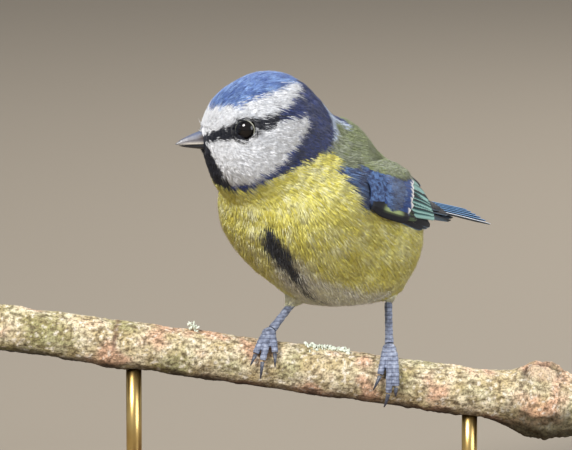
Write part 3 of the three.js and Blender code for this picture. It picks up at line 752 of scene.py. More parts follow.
# A blade has three corners round its root and three round its middle: how far along, and their width's
# share, with one more corner at its tip
BLADE_RINGS = ((0.0, 0.7), (0.45, 1.0))
BLADE_RIDGE = 0.45
ROOT_SPREAD = 0.07
ROOT_SUNK = 0.12
# The size of a blade's own place on the map, as a share of the map
BAKE_PATCH = 0.003
# A blade's tone at its root, its middle and its tip: painted shade darkens the root, where the blades
# shade each other, and painted light brightens the tip
BLADE_SHADING = (0.7, 0.92, 1.08)


def tufts(roots, normals, lies, lengths, colours, places, width=0.15, fan=9, rise=COAT_DEPTH_SHARE,
          curve=18.0, vary=0.1):
    """Vertices, triangles, colours and map places of pointed blades, in tufts. Sizes are in millimetres."""
    roots, n, lie, length, colours, places = (
        np.repeat(values, BLADES, axis=0) for values in (roots, normals, lies, lengths, colours, places)
    )
    count = len(roots)
    spread = np.tile(np.linspace(-1, 1, BLADES), count // BLADES)
    angle = np.radians(spread * fan + rng.normal(0, 3.5, count))
    side = np.cross(n, lie)
    along = lie * np.cos(angle)[:, None] + side * np.sin(angle)[:, None]
    across = np.cross(n, along)
    reach = length * rng.uniform(0.75, 1.15, count) * (1 - 0.12 * spread**2)
    lift = length * rise * rng.uniform(0.7, 1.2, count)
    start = roots + (side * (spread * length * ROOT_SPREAD)[:, None] - n * ROOT_SUNK) * MM
    half = width / 2 * np.clip(length / 3, 0.5, 1.1) * rng.uniform(0.8, 1.2, count)
    corners = []
    for t, share in BLADE_RINGS:
        height = lift * math.sin(t * math.pi / 2) - (reach * t) ** 2 / (2 * curve)
        middle = start + (along * (reach * t)[:, None] + n * height[:, None]) * MM
        edge = across * (half * share)[:, None] * MM
        ridge = n * (half * BLADE_RIDGE)[:, None] * MM
        corners += [middle - edge, middle + edge, middle + ridge]
    height = lift - reach**2 / (2 * curve)
    corners.append(start + (along * reach[:, None] + n * height[:, None]) * MM)
    vertices = np.stack(corners, axis=1).reshape(-1, 3)
    sides = [[0, 1, 4], [0, 4, 3], [1, 2, 5], [1, 5, 4], [2, 0, 3], [2, 3, 5]]
    pattern = np.array([[0, 2, 1], *sides, [3, 4, 6], [4, 5, 6], [5, 3, 6]])
    triangles = (np.arange(count)[:, None, None] * len(corners) + pattern).reshape(-1, 3)
    tone = colours * rng.uniform(1 - vary, 1 + vary, (count, 1))
    # Painted shade and light: each blade darkens towards its root and brightens towards its tip
    shaded_root, shaded_middle, lit_tip = (tone * level for level in BLADE_SHADING)
    shades = np.stack([shaded_root] * 3 + [shaded_middle] * 3 + [lit_tip], axis=1).reshape(-1, 3)
    patch = np.array([[-1, 0], [1, 0], [0, 0], [-1, 0.5], [1, 0.5], [0, 0.5], [0, 1]]) * BAKE_PATCH / 2
    spots = (places[:, None, :] + patch).reshape(-1, 2)
    return vertices, triangles, ramped(shades), spots


MOST_TUFTS = 3900


def add_tufts(name, slot, roots, normals, lies, lengths, colours, places, **shape):
    """Splits the tufts between pieces that each stay under the limit of triangles."""
    parts = max(1, math.ceil(len(roots) / MOST_TUFTS))
    order = np.argsort(roots[:, 0] * 0.6 + roots[:, 2], kind="stable")
    fields = (roots, normals, lies, lengths, colours, places)
    for index, chosen in enumerate(np.array_split(order, parts), 1):
        *arrays, spots = tufts(*(values[chosen] for values in fields), **shape)
        mesh = mesh_from(f"{name}_{index}", *arrays, {"OFBake": spots})
        add_piece(f"{name}_{index}", mesh, plumage, slot)


print("a tuft of", BLADES, "blades, and at most", MOST_TUFTS, "tufts in a piece")

# %% [markdown]
# The wing is folded over the flank. All its feathers lie on one curved guide, from the wrist (along 0)
# to the wing's tip (along 1) and from the lower, leading edge (across 0) to the upper edge (across 1).
# The guide is kept just clear of the skin, so that the body's feathers close over its edges.

# %% Wing guide
# Places in the bird's frame along the left wing's two edges, from the wrist to the tip
WING_EDGES = {
    "lower": [(18.6, -11.5, 4.6), (21.6, -2, 1.6), (21.2, 13, -2.6), (15.5, 30, -6.2), (8.6, 47.5, -8)],
    "upper": [(14, -10, 12.8), (14.4, 1, 12.2), (12.6, 15, 8.8), (8.4, 31, 3.2), (6.9, 48, -5)],
}
# How far the guide bulges at the wrist and near the tip, which way (out and up), and how far it keeps from
# the skin
WING_BULGE = (3.6, 0.7)
BULGE_LIE = (0.8, 0.6)
WING_LIFT = 0.25
GUIDE_SMOOTHING = 2
# From where on the bird's rear swings to its left, and by how many degrees
REAR_SWING = (5, 4)


def swing(y):
    return np.maximum(0, y - REAR_SWING[0]) * math.tan(math.radians(REAR_SWING[1]))


def through(points, t):
    """A smooth curve through evenly timed points."""
    p = np.array(points, float)
    p = np.vstack([2 * p[0] - p[1], p, 2 * p[-1] - p[-2]])
    place = ramped(t) * (len(points) - 1)
    i = np.minimum(place.astype(int), len(points) - 2)
    f = (place - i)[:, None]
    a, b, c, d = p[i], p[i + 1], p[i + 2], p[i + 3]
    return 0.5 * (2 * b + (c - a) * f + (2 * a - 5 * b + 4 * c - d) * f**2 + (3 * b - 3 * c + d - a) * f**3)


def tree_of(mesh):
    """A mesh's faces, ready to be searched for the nearest place or the first one along a line."""
    corners = [tuple(point) for point in points_of(mesh)]
    return BVHTree.FromPolygons(corners, [tuple(face.vertices) for face in mesh.polygons])


skin_tree = tree_of(skin.data)
GUIDE_ALONG = np.linspace(0, 1, 41)
GUIDE_ACROSS = np.linspace(-0.1, 1.1, 17)


def wing_guide(side):
    """Points and outward normals of one wing's guide on a grid, in metres."""
    low, high = (through(WING_EDGES[edge], GUIDE_ALONG)[:, None] for edge in ("lower", "upper"))
    c = GUIDE_ACROSS[None, :]
    grid = mix(low, high, c[..., None])
    bulge = np.interp(GUIDE_ALONG * 1.3, [0, 1], WING_BULGE)[:, None] * 4 * ramped(c * (1 - c))
    grid[..., 0] += bulge * BULGE_LIE[0]
    grid[..., 2] += bulge * BULGE_LIE[1]
    grid[..., 0] = side * grid[..., 0] + swing(grid[..., 1])
    points = out_of(grid.reshape(-1, 3), BIRD_FRAME)
    for index, point in enumerate(points):
        near, normal, _, _ = skin_tree.find_nearest(Vector(point))
        if (Vector(point) - near).dot(normal) < WING_LIFT * MM:
            points[index] = near + normal * WING_LIFT * MM
    points = points.reshape(grid.shape)
    for _ in range(GUIDE_SMOOTHING):
        beside = points[:-2, 1:-1] + points[2:, 1:-1] + points[1:-1, :-2] + points[1:-1, 2:]
        points[1:-1, 1:-1] = (beside + 4 * points[1:-1, 1:-1]) / 8
    lengthwise, crosswise = np.gradient(points, axis=0), np.gradient(points, axis=1)
    return points, unit(np.cross(lengthwise, crosswise)) * side


def on_guide(grid, along, across):
    """Grid values between the guide's points."""
    first, last = GUIDE_ACROSS[0], GUIDE_ACROSS[-1]
    i = ramped(along) * (len(GUIDE_ALONG) - 1)
    j = (np.clip(across, first, last) - first) / (last - first) * (len(GUIDE_ACROSS) - 1)
    i0 = np.minimum(i.astype(int), len(GUIDE_ALONG) - 2)
    j0 = np.minimum(j.astype(int), len(GUIDE_ACROSS) - 2)
    u, v = (i - i0)[:, None], (j - j0)[:, None]
    return mix(mix(grid[i0, j0], grid[i0 + 1, j0], u), mix(grid[i0, j0 + 1], grid[i0 + 1, j0 + 1], u), v)


guides = {side: wing_guide(side) for side in SIDES.values()}
print("wing tips", [np.round(points[-1, len(GUIDE_ACROSS) // 2] / MM, 1) for points, _ in guides.values()])

# %% [markdown]
# A flight feather is a shaft with a web on each side. A flat card would have no edge to catch the light,
# so each is a thin closed vane: a row of points across for each step along, narrow at the root and round
# at the tip, with the shaft raised in the middle. Its colour is worked out for each point from where it
# lies on the feather.

# %% One vane
# Places across a vane from edge to edge, close together where its colour changes and at the shaft
ACROSS = np.array([-1, -0.84, -0.7, -0.55, -0.35, -0.07, 0, 0.07, 0.35, 0.7, 1])
VANE_THICKNESS = 0.1
SHAFT_RISE = 0.07
SHAFT_WIDTH = 0.08
# How much each vane's underside is darkened, as painted shade
UNDERSIDE_SHADE = 0.8
FAINT_BARS = 37
# The map is a square of cells, one to a vane: cells in a row, the part of a cell that one side fills, its
# margin and the step to the underside
CELLS = 10
CELL_FILL = (0.44, 0.9)
CELL_MARGIN = 0.02
CELL_STEP = (0.48, 0)


def vane_width(t, roundness):
    """The share of a vane's full width at each place along it."""
    root = 0.5 + 0.5 * ramped(t / 0.3)
    end = ramped((t - (1 - roundness)) / roundness)
    return root * np.sqrt(np.maximum(1 - end**2, 0.004))


def grid_faces(rows, columns):
    """Corner numbers of the four-sided faces between the points of a grid."""
    grid = np.arange(rows * columns).reshape(rows, columns)
    return np.stack([grid[:-1, :-1], grid[:-1, 1:], grid[1:, 1:], grid[1:, :-1]], -1).reshape(-1, 4)


def closed_sheet(top, bottom, flipped):
    """Vertices and triangles of a thin solid between two grids of points, with walls round its edge."""
    rows, columns = top.shape[:2]
    grid = np.arange(rows * columns).reshape(rows, columns)
    face = grid_faces(rows, columns)[:, [0, 1, 2, 0, 2, 3]].reshape(-1, 3)
    rim = np.concatenate([grid[0], grid[1:, -1], grid[-1, -2::-1], grid[-2:0:-1, 0]])
    after, below = np.roll(rim, -1), grid.size
    wall = np.stack([rim, rim + below, after, after, rim + below, after + below], 1).reshape(-1, 3)
    triangles = np.concatenate([face, face[:, ::-1] + below, wall])
    vertices = np.concatenate([top.reshape(-1, 3), bottom.reshape(-1, 3)])
    return vertices, triangles[:, ::-1] if flipped else triangles


def in_cell(cell, flat):
    """Map places of a sheet's top and of its bottom, side by side in one cell of the map."""
    corner = np.array([cell % CELLS, cell // CELLS])
    return np.concatenate([corner + flat, corner + flat + CELL_STEP]) / CELLS


def vane(path, normals, up_side, half, colour, cell, roundness, camber=0.16):
    """Arrays of one vane, whose path and normals run from root to tip. up_side says which edge is +1."""
    t = np.linspace(0, 1, len(path))
    forward = unit(np.gradient(path, axis=0))
    sideways = unit(np.cross(normals, forward))[:, None] * up_side
    width = (half * vane_width(t, roundness))[:, None, None]
    s = ACROSS[None, :, None]
    arch = (1 - s**2) * camber * width
    shaft = hump(s, 0, SHAFT_WIDTH) * SHAFT_RISE * (1 - t[:, None, None])
    bottom = path[:, None] + (sideways * s * width + normals[:, None] * arch) * MM
    top = bottom + normals[:, None] * (shaft + VANE_THICKNESS) * MM
    vertices, triangles = closed_sheet(top, bottom, up_side > 0)
    ss, tt = np.tile(ACROSS, len(path)), np.repeat(t, len(ACROSS))
    shades = colour(ss, tt)
    # The underside gets painted shade
    shades = np.concatenate([shades, shades * UNDERSIDE_SHADE])
    barbs = np.stack([ss * half, tt * np.linalg.norm(path[-1] - path[0]) / MM], 1)
    spots = in_cell(cell, np.stack([(ss + 1) / 2, tt], 1) * CELL_FILL + CELL_MARGIN)
    return vertices, triangles, shades, spots, np.concatenate([barbs, barbs])


def add_vanes(name, parts, slot, replaced):
    """Makes one piece of many vanes."""
    starts = np.cumsum([0] + [len(part[0]) for part in parts])
    triangles = np.concatenate([part[1] + start for part, start in zip(parts, starts)])
    vertices, shades, spots, barbs = (np.concatenate([part[k] for part in parts]) for k in (0, 2, 3, 4))
    mesh = mesh_from(name, vertices, triangles, shades, {"OFBake": spots, "barbs": barbs})
    add_piece(name, mesh, vanes, slot, replaced)


def shade(s, t, *layers):
    """Layers of colour over a feather, at places s across it and t along it, with faint bars."""
    bars = 0.93 + 0.14 * ((t * FAINT_BARS + s * 3) % 1)
    return ramped(layered(len(s), *layers) * bars[:, None])


print("a vane has", len(ACROSS), "points across its top")

# %% [markdown]
# The barbs of a web leave the shaft at a slant. A second map holds each point's place on its feather in
# millimetres, and a wave along that slant gives the fine ridges, as bump and as a faint change of tone.

# %% Vane material
BARB_PITCH = 0.28


def worked(tree, operation, *values):
    """A maths node on sockets and numbers."""
    made = node(tree, "ShaderNodeMath", operation=operation)
    for socket, value in zip(made.inputs, values):
        if hasattr(value, "links"):
            tree.links.new(value, socket)
        else:
            socket.default_value = value
    return made.outputs[0]


def vane_material():
    material, tree, shader = new_material("vane", 0.6, Specular_IOR_Level=0.3)
    marking = node(tree, "ShaderNodeAttribute", attribute_name="marking")
    place = node(tree, "ShaderNodeUVMap", uv_map="barbs")
    parts = node(tree, "ShaderNodeSeparateXYZ")
    tree.links.new(place.outputs["UV"], parts.inputs["Vector"])
    slant = worked(tree, "SUBTRACT", parts.outputs["Y"], worked(tree, "ABSOLUTE", parts.outputs["X"]))
    wave = worked(tree, "SINE", worked(tree, "MULTIPLY", slant, 2 * math.pi / BARB_PITCH))
    tone = ramp(tree, wave, (0.0, (0.8, 0.8, 0.8)), (1.0, (1.1, 1.1, 1.1)))
    tree.links.new(multiplied(tree, marking.outputs["Color"], tone), shader.inputs["Base Color"])
    bumped(tree, shader, wave, 0.35, 0.03)
    return material


vanes = vane_material()
print("barbs in a centimetre:", round(10 / BARB_PITCH))

# %% [markdown]
# From below upward the folded wing shows the dark primaries, the green-blue edges of the secondaries,
# the tertials, the blue greater coverts whose white tips make the wing bar, and along the front edge the
# dark alula and primary coverts with green edges. One long list of vanes would hide this order, so each
# tier is a row of a table. The smaller coverts come later, as tufts.

# %% Wing feathers
BLACK = screen(20, 21, 27)
SLATE = screen(44, 50, 60)
TURQUOISE = screen(144, 184, 176)
TEAL = screen(38, 92, 92)
COVERT = screen(48, 80, 138)
BAR = screen(236, 232, 226)
OLIVE_DARK = screen(74, 88, 62)
PALE_GREEN = screen(150, 164, 112)
PALE_EDGE = screen(150, 176, 200)


def primary_colour(s, t):
    return shade(s, t, BLACK, (PALE_EDGE, (s < -0.9) * 0.5), (SLATE, ramped(s) * 0.4))


def secondary_colour(s, t):
    edge = ramped((-0.55 - s) * 12) * ramped((0.97 - t) * 12)
    return shade(s, t, BLACK, (TEAL, ramped((-0.45 - s) * 12) * 0.8), (TURQUOISE, edge))


def tertial_colour(s, t):
    return shade(s, t, BLACK, (TURQUOISE, ramped((0.1 - s) * 4) * 0.8), (BAR, (t - 0.95) * 20))


def inner_colour(s, t):
    return shade(s, t, BLACK, (SLATE, ramped(-s) * 0.5), (BAR, ramped((t - 0.97) * 20, 0.6)))


def greater_covert_colour(s, t):
    web, edge = 0.75 - abs(s + 0.3), (s < -0.7) * 0.3
    return shade(s, t, COVERT_DARK, (COVERT, web), (COVERT_LIGHT, edge), (BAR, (t - 0.9) * 30))


def alula_colour(s, t):
    middle = ramped((s + 0.1) * 8) * ramped((0.75 - s) * 8)
    return shade(s, t, BLACK, (PALE_GREEN, middle * ramped((t - 0.28) * 8) * ramped((0.86 - t) * 8)))


def front_covert_colour(s, t):
    return shade(s, t, BLACK, (OLIVE_DARK, (-0.3 - s) * 5))


# Each tier: how many, root (along, across) of the first and the last, tip of the first and the last,
# half-width, height over the guide of the first one's root and tip, what each next one adds to them,
# roundness and colour
TIERS = [
    (3, (0.22, 0.08), (0.26, 0.14), (0.48, 0.0), (0.56, 0.1), 1.5, (0.1, 0.1), (0.1, 0.14), 0.3,
     primary_colour),
    (5, (0.3, 0.2), (0.3, 0.5), (1.0, 0.8), (0.82, 1.0), 2.0, (0.1, 0.5), (0.08, 0.18), 0.2,
     primary_colour),
    (7, (0.28, 0.2), (0.28, 0.62), (0.66, 0.3), (0.63, 0.56), 2.1, (0.7, 1.0), (0.09, 0.1), 0.24,
     secondary_colour),
    (2, (0.28, 0.72), (0.28, 0.8), (0.62, 0.64), (0.58, 0.78), 2.3, (1.4, 1.7), (0.12, 0.16), 0.4,
     tertial_colour),
    (3, (0.3, 0.84), (0.36, 0.94), (0.62, 0.92), (0.76, 1.08), 1.7, (0.9, 1.2), (0.1, 0.25), 0.3,
     inner_colour),
    (9, (0.08, 0.14), (0.2, 0.74), (0.32, 0.17), (0.46, 0.8), 1.6, (1.3, 1.9), (0.03, 0.05), 0.4,
     greater_covert_colour),
    (4, (0.12, 0.1), (0.14, 0.16), (0.38, 0.06), (0.34, 0.16), 1.1, (1.2, 1.5), (0.06, 0.06), 0.35,
     front_covert_colour),
    (1, (0.0, 0.12), (0.0, 0.12), (0.3, 0.03), (0.3, 0.03), 1.9, (1.1, 2.0), (0, 0), 0.3, alula_colour),
]
# The arm: the part of the guide that it covers, its height, how far its blue is darkened as painted shade
# under the coverts, and its cell on the map
ARM_ALONG = np.linspace(0, 0.42, 14)
ARM_ACROSS = np.linspace(0.04, 0.98, 12)
ARM_HEIGHT = 1.7
ARM_SHADE = 0.4
ARM_CELL = CELLS**2 - 1
# How far a feather's tip may stray from its place, as a share of the guide
TIP_STRAY = 0.006


def wing_arm(side):
    """The arm and hand under the coverts: one broad low dome."""
    points, normals = guides[side]
    along, across = np.meshgrid(ARM_ALONG, ARM_ACROSS, indexing="ij")
    grid = (*along.shape, 3)
    along, across = along.ravel(), across.ravel()
    base = on_guide(points, along, across)
    top = base + on_guide(normals, along, across) * arm_dome(along, across)[:, None] * MM
    vertices, triangles = closed_sheet(top.reshape(grid), base.reshape(grid), side > 0)
    # The arm is the coverts' blue darkened, as painted shade under the covert tufts
    shades = np.tile(COVERT * ARM_SHADE, (len(vertices), 1))
    spots = in_cell(ARM_CELL, np.stack([across, along * 2], 1) * CELL_FILL[0])
    barbs = np.stack([across, along], 1) * 10
    return vertices, triangles, shades, spots, np.concatenate([barbs, barbs])


def arm_dome(along, across):
    """The dome's height in millimetres: round across, and falling to its front and back."""
    lengthwise = np.clip(np.minimum(0.05 + along / 0.12, (0.46 - along) / 0.2), 0.05, 1)
    return ARM_HEIGHT * np.sqrt(ramped(np.sin(np.pi * np.clip(across, 0.02, 0.98)))) * lengthwise


def wing_feathers(side):
    points, normals = guides[side]
    parts = [wing_arm(side)]
    way = np.linspace(0, 1, 15)[:, None]
    for count, root0, root1, tip0, tip1, half, low, growth, roundness, colour in TIERS:
        for index in range(count):
            t = index / max(count - 1, 1)
            root = mix(np.array(root0), np.array(root1), t)
            tip = mix(np.array(tip0), np.array(tip1), t) + rng.normal(0, TIP_STRAY, 2)
            along, across = mix(root, tip, way).T
            n = unit(on_guide(normals, along, across))
            height = mix(low[0] + growth[0] * index, low[1] + growth[1] * index, way)
            path = on_guide(points, along, across) + n * height * MM
            width = half * rng.uniform(0.95, 1.05)
            parts.append(vane(path, n, side, width, colour, len(parts) - 1, roundness))
    return parts


for name, side in SIDES.items():
    add_vanes(f"wing_{name}_feathers", wing_feathers(side), "wing_feathers", f"wing_{name}")

# %% [markdown]
# The closed tail has twelve feathers, the middle pair on top and the outer ones a little longer, so that
# the tip is slightly forked. Their outer webs are blue, and the outermost have a pale edge.

# %% Tail feathers
TAIL = {"root": 24, "tip": 72, "root_z": 3.4, "tip_z": -8.3, "half": 2.7, "fork": 3.2, "arch": 0.035}
TAIL_PAIRS = 6
# Where the feathers start, as a share of the tail's length, and half the fan's width at its root and tip
TAIL_START = 0.12
TAIL_SPREAD = (2.0, 6.4)
# The height of the top feather, how much lower each next pair lies, and how far left lies over right
TAIL_STACK = (0.35, 0.34, 0.16)
TAIL_BLUE = screen(120, 165, 210)
TAIL_DARK = screen(44, 62, 88)


def tail_point(along, aside, height):
    y = mix(TAIL["root"], TAIL["tip"], along)
    z = mix(TAIL["root_z"], TAIL["tip_z"], along) - TAIL["arch"] * aside**2 + height
    return np.stack([aside + swing(y), y, z], 1)


def tail_feathers():
    parts = []
    way = np.linspace(0, 1, 17)
    top, step, overlap = TAIL_STACK
    for index in range(TAIL_PAIRS):
        rank = index / (TAIL_PAIRS - 1)
        end = 1 - TAIL["fork"] * (1 - rank**1.2) / (TAIL["tip"] - TAIL["root"])
        along = mix(TAIL_START, end, way)
        outermost = index == TAIL_PAIRS - 1

        def colour(s, t, outermost=outermost):
            return shade(s, t, TAIL_DARK, (TAIL_BLUE, 0.6 + 0.9 * s), (WHITE, (s - 0.7) * 5 * outermost))

        for side in SIDES.values():
            outward = side * (index + 0.5) / TAIL_PAIRS
            height = top - step * index + (overlap if side > 0 else 0)
            path = out_of(tail_point(along, outward * mix(*TAIL_SPREAD, way), height), BIRD_FRAME)
            normals = np.tile(turned((0.07 * outward, 0.23, 0.97), BIRD_FRAME), (len(way), 1))
            # The right half of the fan is the left half mirrored, with the outer web away from the middle
            parts.append(vane(path, normals, -side, TAIL["half"], colour, len(parts), 0.14, 0.1))
    return parts


add_vanes("tail_feathers", tail_feathers(), "tail_feathers", "tail")

# %% [markdown]
# The eyes, bill, legs, feet and claws stay separate from the skin. The eye is a clear, wet, nearly black
# ball in a thin ring of lid. A painted ring would be flat, so the lid is a small circle spun round the
# eye's axis. The ball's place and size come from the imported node.

# %% Eyes and lids
LID_RADIUS = 2.28
LID_THICKNESS = 0.12
LID_PROUD = 0.08
wet = grained("eye_wet", 0.05, 0.8, (0.35, (0.002, 0.002, 0.002)), (0.8, (0.008, 0.004, 0.003)),
              Specular_IOR_Level=0.35)
lid_skin = grained("lid_skin", 0.55, 0.3, (0.3, screen(120, 120, 110)), (0.8, screen(190, 190, 172)),
                   bump=((0.15,), 0.4, 0.05))


def make_eye(name, side):
    centre, radius = eye_place(f"eye_{name}")
    bm = bmesh.new()
    bmesh.ops.create_icosphere(bm, subdivisions=5, radius=radius, matrix=Matrix.Translation(centre))
    add_piece(f"eyeball_{name}", shell(f"eyeball_{name}", bm), wet, "eye", f"eye_{name}")
    axis = eye_axis(side)
    bm = bmesh.new()
    ring = bmesh.ops.create_circle(bm, segments=10, radius=LID_THICKNESS * MM)["verts"]
    bmesh.ops.rotate(bm, verts=ring, matrix=Matrix.Rotation(math.pi / 2, 3, "X"))
    bmesh.ops.translate(bm, verts=ring, vec=(LID_RADIUS * MM, 0, 0))
    full_turn = {"axis": (0, 0, 1), "cent": (0, 0, 0), "angle": 2 * math.pi, "use_merge": True}
    bmesh.ops.spin(bm, geom=bm.verts[:] + bm.edges[:], steps=48, **full_turn)
    bmesh.ops.remove_doubles(bm, verts=bm.verts, dist=JOINED * MM)
    bmesh.ops.recalc_face_normals(bm, faces=bm.faces)
    middle = centre + axis * (math.sqrt(radius**2 - (LID_RADIUS * MM) ** 2) + LID_PROUD * MM)
    place = Matrix.Translation(middle) @ axis.to_track_quat("Z", "Y").to_matrix().to_4x4()
    bmesh.ops.transform(bm, matrix=place, verts=bm.verts)
    add_piece(f"lids_{name}", shell(f"lids_{name}", bm), lid_skin, "collar_feathers")


for name, side in SIDES.items():
    make_eye(name, side)

# %% [markdown]
# The coat is sown over the skin at random, since even rows would show as a pattern: more and smaller
# tufts on the face, longer ones on the belly. None grow in the sockets, under the bill's roots or where
# the folded wing covers the skin.

# %% Sow the coat
COAT_TUFTS = 26000
# A tuft's lie in the head's frame may point forward by this much at most
MOST_FORWARD = -0.4
# The part of a wing's guide, along and across, that hides the skin, and how near to the skin it has to be
COVERING = (slice(3, 31), slice(4, 14))
COVER_REACH = 4
SOCKET_GAP = 0.1
# The bill's root stays bare: ahead of a place, within half a width and height, and near its middle
BILL_FRONT = -11.6
BILL_HALF = (2.5, 2.7)
BILL_CLEAR = 2.8


def under_wing(points, normals):
    """True where a line out of the skin meets the inner part of a wing's guide."""
    hidden = np.zeros(len(points), bool)
    for side in SIDES.values():
        grid = guides[side][0][COVERING]
        corners = [tuple(point) for point in grid.reshape(-1, 3)]
        cover = BVHTree.FromPolygons(corners, grid_faces(*grid.shape[:2]).tolist())
        for index in np.flatnonzero(~hidden):
            met = cover.ray_cast(Vector(points[index]), Vector(normals[index]), COVER_REACH * MM)[0]
            hidden[index] = met is not None
    return hidden


def sow(mesh, count):
    """Roots, normals and map places of tufts, denser where the coat is shorter."""
    points, normals = points_of(mesh), normals_of(mesh)
    mesh.calc_loop_triangles()
    corners = read(mesh.loop_triangles, "vertices", 3, np.int32)
    loops = read(mesh.loop_triangles, "loops", 3, np.int32)
    a, b, c = (points[corners[:, k]] for k in range(3))
    area = np.linalg.norm(np.cross(b - a, c - a), axis=1)
    weight = area / coat_length(points[corners].mean(axis=1)) ** 0.9
    chosen = rng.choice(len(corners), count, p=weight / weight.sum())
    share = rng.dirichlet((1, 1, 1), count)
    spots = read(mesh.uv_layers["OFBake"].uv, "vector", 2)
    root, normal, spot = (
        np.einsum("ij,ijk->ik", share, values)
        for values in (points[corners[chosen]], normals[corners[chosen]], spots[loops[chosen]])
    )
    return root, unit(normal), spot


def make_coat():
    root, normal, spot = sow(skin.data, COAT_TUFTS)
    keep = ~under_wing(root, normal)
    for name, side in SIDES.items():
        out, aside = from_eye(root, name, side)
        radius = eye_place(f"eye_{name}")[1] / MM
        keep &= ~((aside < LID_RADIUS + SOCKET_GAP) & (out > 0))
        keep &= np.hypot(out, aside) > radius + SOCKET_GAP
    h = into(root, HEAD_FRAME)
    keep &= (h[:, 1] >= BILL_FRONT) | (np.hypot(h[:, 0] / BILL_HALF[0], (h[:, 2] + 0.1) / BILL_HALF[1]) >= 1)
    keep &= np.linalg.norm(h - BILL_ROOT, axis=1) > BILL_CLEAR
    root, normal, spot = root[keep], normal[keep], spot[keep]
    lie = lie_at(root, normal)
    # Round the bill's root a few would stick out forward
    backward = (lie @ np.array(HEAD_FRAME)[:3, :3])[:, 1] > MOST_FORWARD
    root, normal, spot, lie = root[backward], normal[backward], spot[backward], lie[backward]
    length = coat_length(root) * rng.uniform(0.85, 1.15, len(root))
    shown = root + lie * (length * 0.6)[:, None] * MM
    add_tufts("plumage", "breast_feathers", root, normal, lie, length, markings(shown, 1.2), spot)


make_coat()

# %% [markdown]
# Small blue feathers cover the arm of the wing, and the mantle's olive ones close over its upper edge.
# They are too small to need a vane each, so the tufts of the coat are used, sown on the wing's guide.

# %% Small coverts and the feathers over the wing's edges
def over_wing(side, along, across, height, slant):
    """Roots, normals and lies of tufts at a height over a wing's guide."""
    points, normals = guides[side]
    base, normal = on_guide(points, along, across), unit(on_guide(normals, along, across))
    lie = laid(unit(on_guide(points, along + 0.03, across + slant) - base), normal)
    return base + normal * height[:, None] * MM, normal, lie


# The edge between the blue coverts and the olive feathers over them, as across for along
OLIVE_EDGE = [(0, 1.2), (0.05, 0.98), (0.1, 0.84), (0.2, 0.74), (0.3, 0.76), (0.42, 0.9)]
# The share of the tufts' height over the guide, for across, and the end of the wrist, as along
CROWN_SHARE = [(-0.1, 0.5), (0.1, 0.8), (0.62, 1), (0.85, 1), (1.1, 0.5)]
WRIST_END = 0.12


def edge_tufts(name, side, count, along, across, height, length, first, second, slant=0.0, above=False,
               **shape):
    """Sows tufts between two colours on a part of the wing's guide, on one side of the olive edge."""
    along, across = rng.uniform(*along, count), rng.uniform(*across, count)
    edge = along_edge(along, OLIVE_EDGE)
    inside = (across > edge) if above else (across < edge + 0.05)
    along, across = along[inside], across[inside]
    lifted = np.interp(along, [0, WRIST_END], height) * along_edge(across, CROWN_SHARE)
    root, normal, lie = over_wing(side, along, across, lifted, slant)
    tone = ramped(0.5 + 1.4 * rippled(root, 0.7, 11) + rng.normal(0, 0.3, len(root)))
    spots = np.stack([(across + 0.1) * 0.8, (along + 0.1) * 1.6], 1)
    lengths = rng.uniform(0.8, 1.2, len(root)) * length
    colours = mix(first, second, tone[:, None])
    add_tufts(name, "wing_feathers", root, normal, lie, lengths, colours, spots, **shape)


for name, side in SIDES.items():
    near = side > 0
    edge_tufts(f"small_coverts_{name}", side, 3300 if near else 1700, (0.0, 0.27), (0.08, 1.0), (0.2, 2.2),
               2.6, COVERT_DARK, COVERT_LIGHT, width=0.14, rise=0.14, vary=0.35, fan=14)
    edge_tufts(f"scapulars_{name}", side, 1900 if near else 900, (-0.06, 0.4), (0.7, 1.1), (0.6, 2.4),
               4.6, MANTLE, MANTLE_GREY, slant=-0.035, above=True, width=0.16, rise=0.16, vary=0.2)

# %% [markdown]
# Short pale feathers close the thighs round the tops of the legs. The skin stops too high for them, so
# they grow on a cone that narrows down each leg, and only its tufts are made.

# %% Thighs
# Each thigh: how far above and below the leg's top its tufts grow, their length, the cone's widest radius
THIGHS = {"left": (2.2, -0.9, 1.9, 1.9), "right": (3.2, 0.5, 2.6, 3.6)}
THIGH_TUFTS = 260
THIGH_ANKLE = 1.1


def thigh(side):
    """Sows the tufts of one thigh round the line from the leg's top to its foot."""
    above, below, length, widest = THIGHS[side]
    points = points_of(nodes[f"leg_{side}"].data)
    order = np.argsort(points[:, 2])
    share = len(order) // 6
    top, foot = points[order[-share:]].mean(axis=0), points[order[:share]].mean(axis=0)
    down = unit(foot - top)
    first = unit(np.cross(down, (0, 1, 0)))
    second = np.cross(down, first)
    angle = rng.uniform(0, 2 * math.pi, THIGH_TUFTS)[:, None]
    along = rng.uniform(-above, below, THIGH_TUFTS)
    outward = first * np.cos(angle) + second * np.sin(angle)
    radius = np.interp(along, [-above, below], [widest, THIGH_ANKLE])
    root = top + (down * along[:, None] + outward * radius[:, None]) * MM
    slope = (widest - THIGH_ANKLE) / (above + below)
    normal, lie = unit(outward + down * slope), unit(down - outward * slope)
    lengths = length * rng.uniform(0.8, 1.2, THIGH_TUFTS)
    tone = ramped(rng.normal(0.6, 0.3, THIGH_TUFTS))
    spots = np.hstack([0.05 + 0.9 * angle / (2 * math.pi), 0.05 + 0.1 * (along[:, None] + above)])
    colours = mix(CREAM, YELLOW_PALE, tone[:, None])
    add_tufts(f"thigh_{side}", "breast_feathers", root, normal, lie, lengths, colours, spots)


for side in THIGHS:
    thigh(side)

# %% [markdown]
# Horn and scaled skin are hard and smooth, so those solids are carried over as finer copies: even faces,
# rounded by smoothing, with the scales' bump on the legs and toes and a faint grain along the bill and
# claws.

# %% Bill, legs, feet and claws
# The height of one of the broad scales that ring the legs and toes, and the width of the small ones
SCUTE = 0.85
SMALL_SCALE = 0.55
SCALE_TONES = ((0.3, screen(88, 94, 112)), (0.52, screen(126, 134, 156)), (0.75, screen(166, 174, 192)))


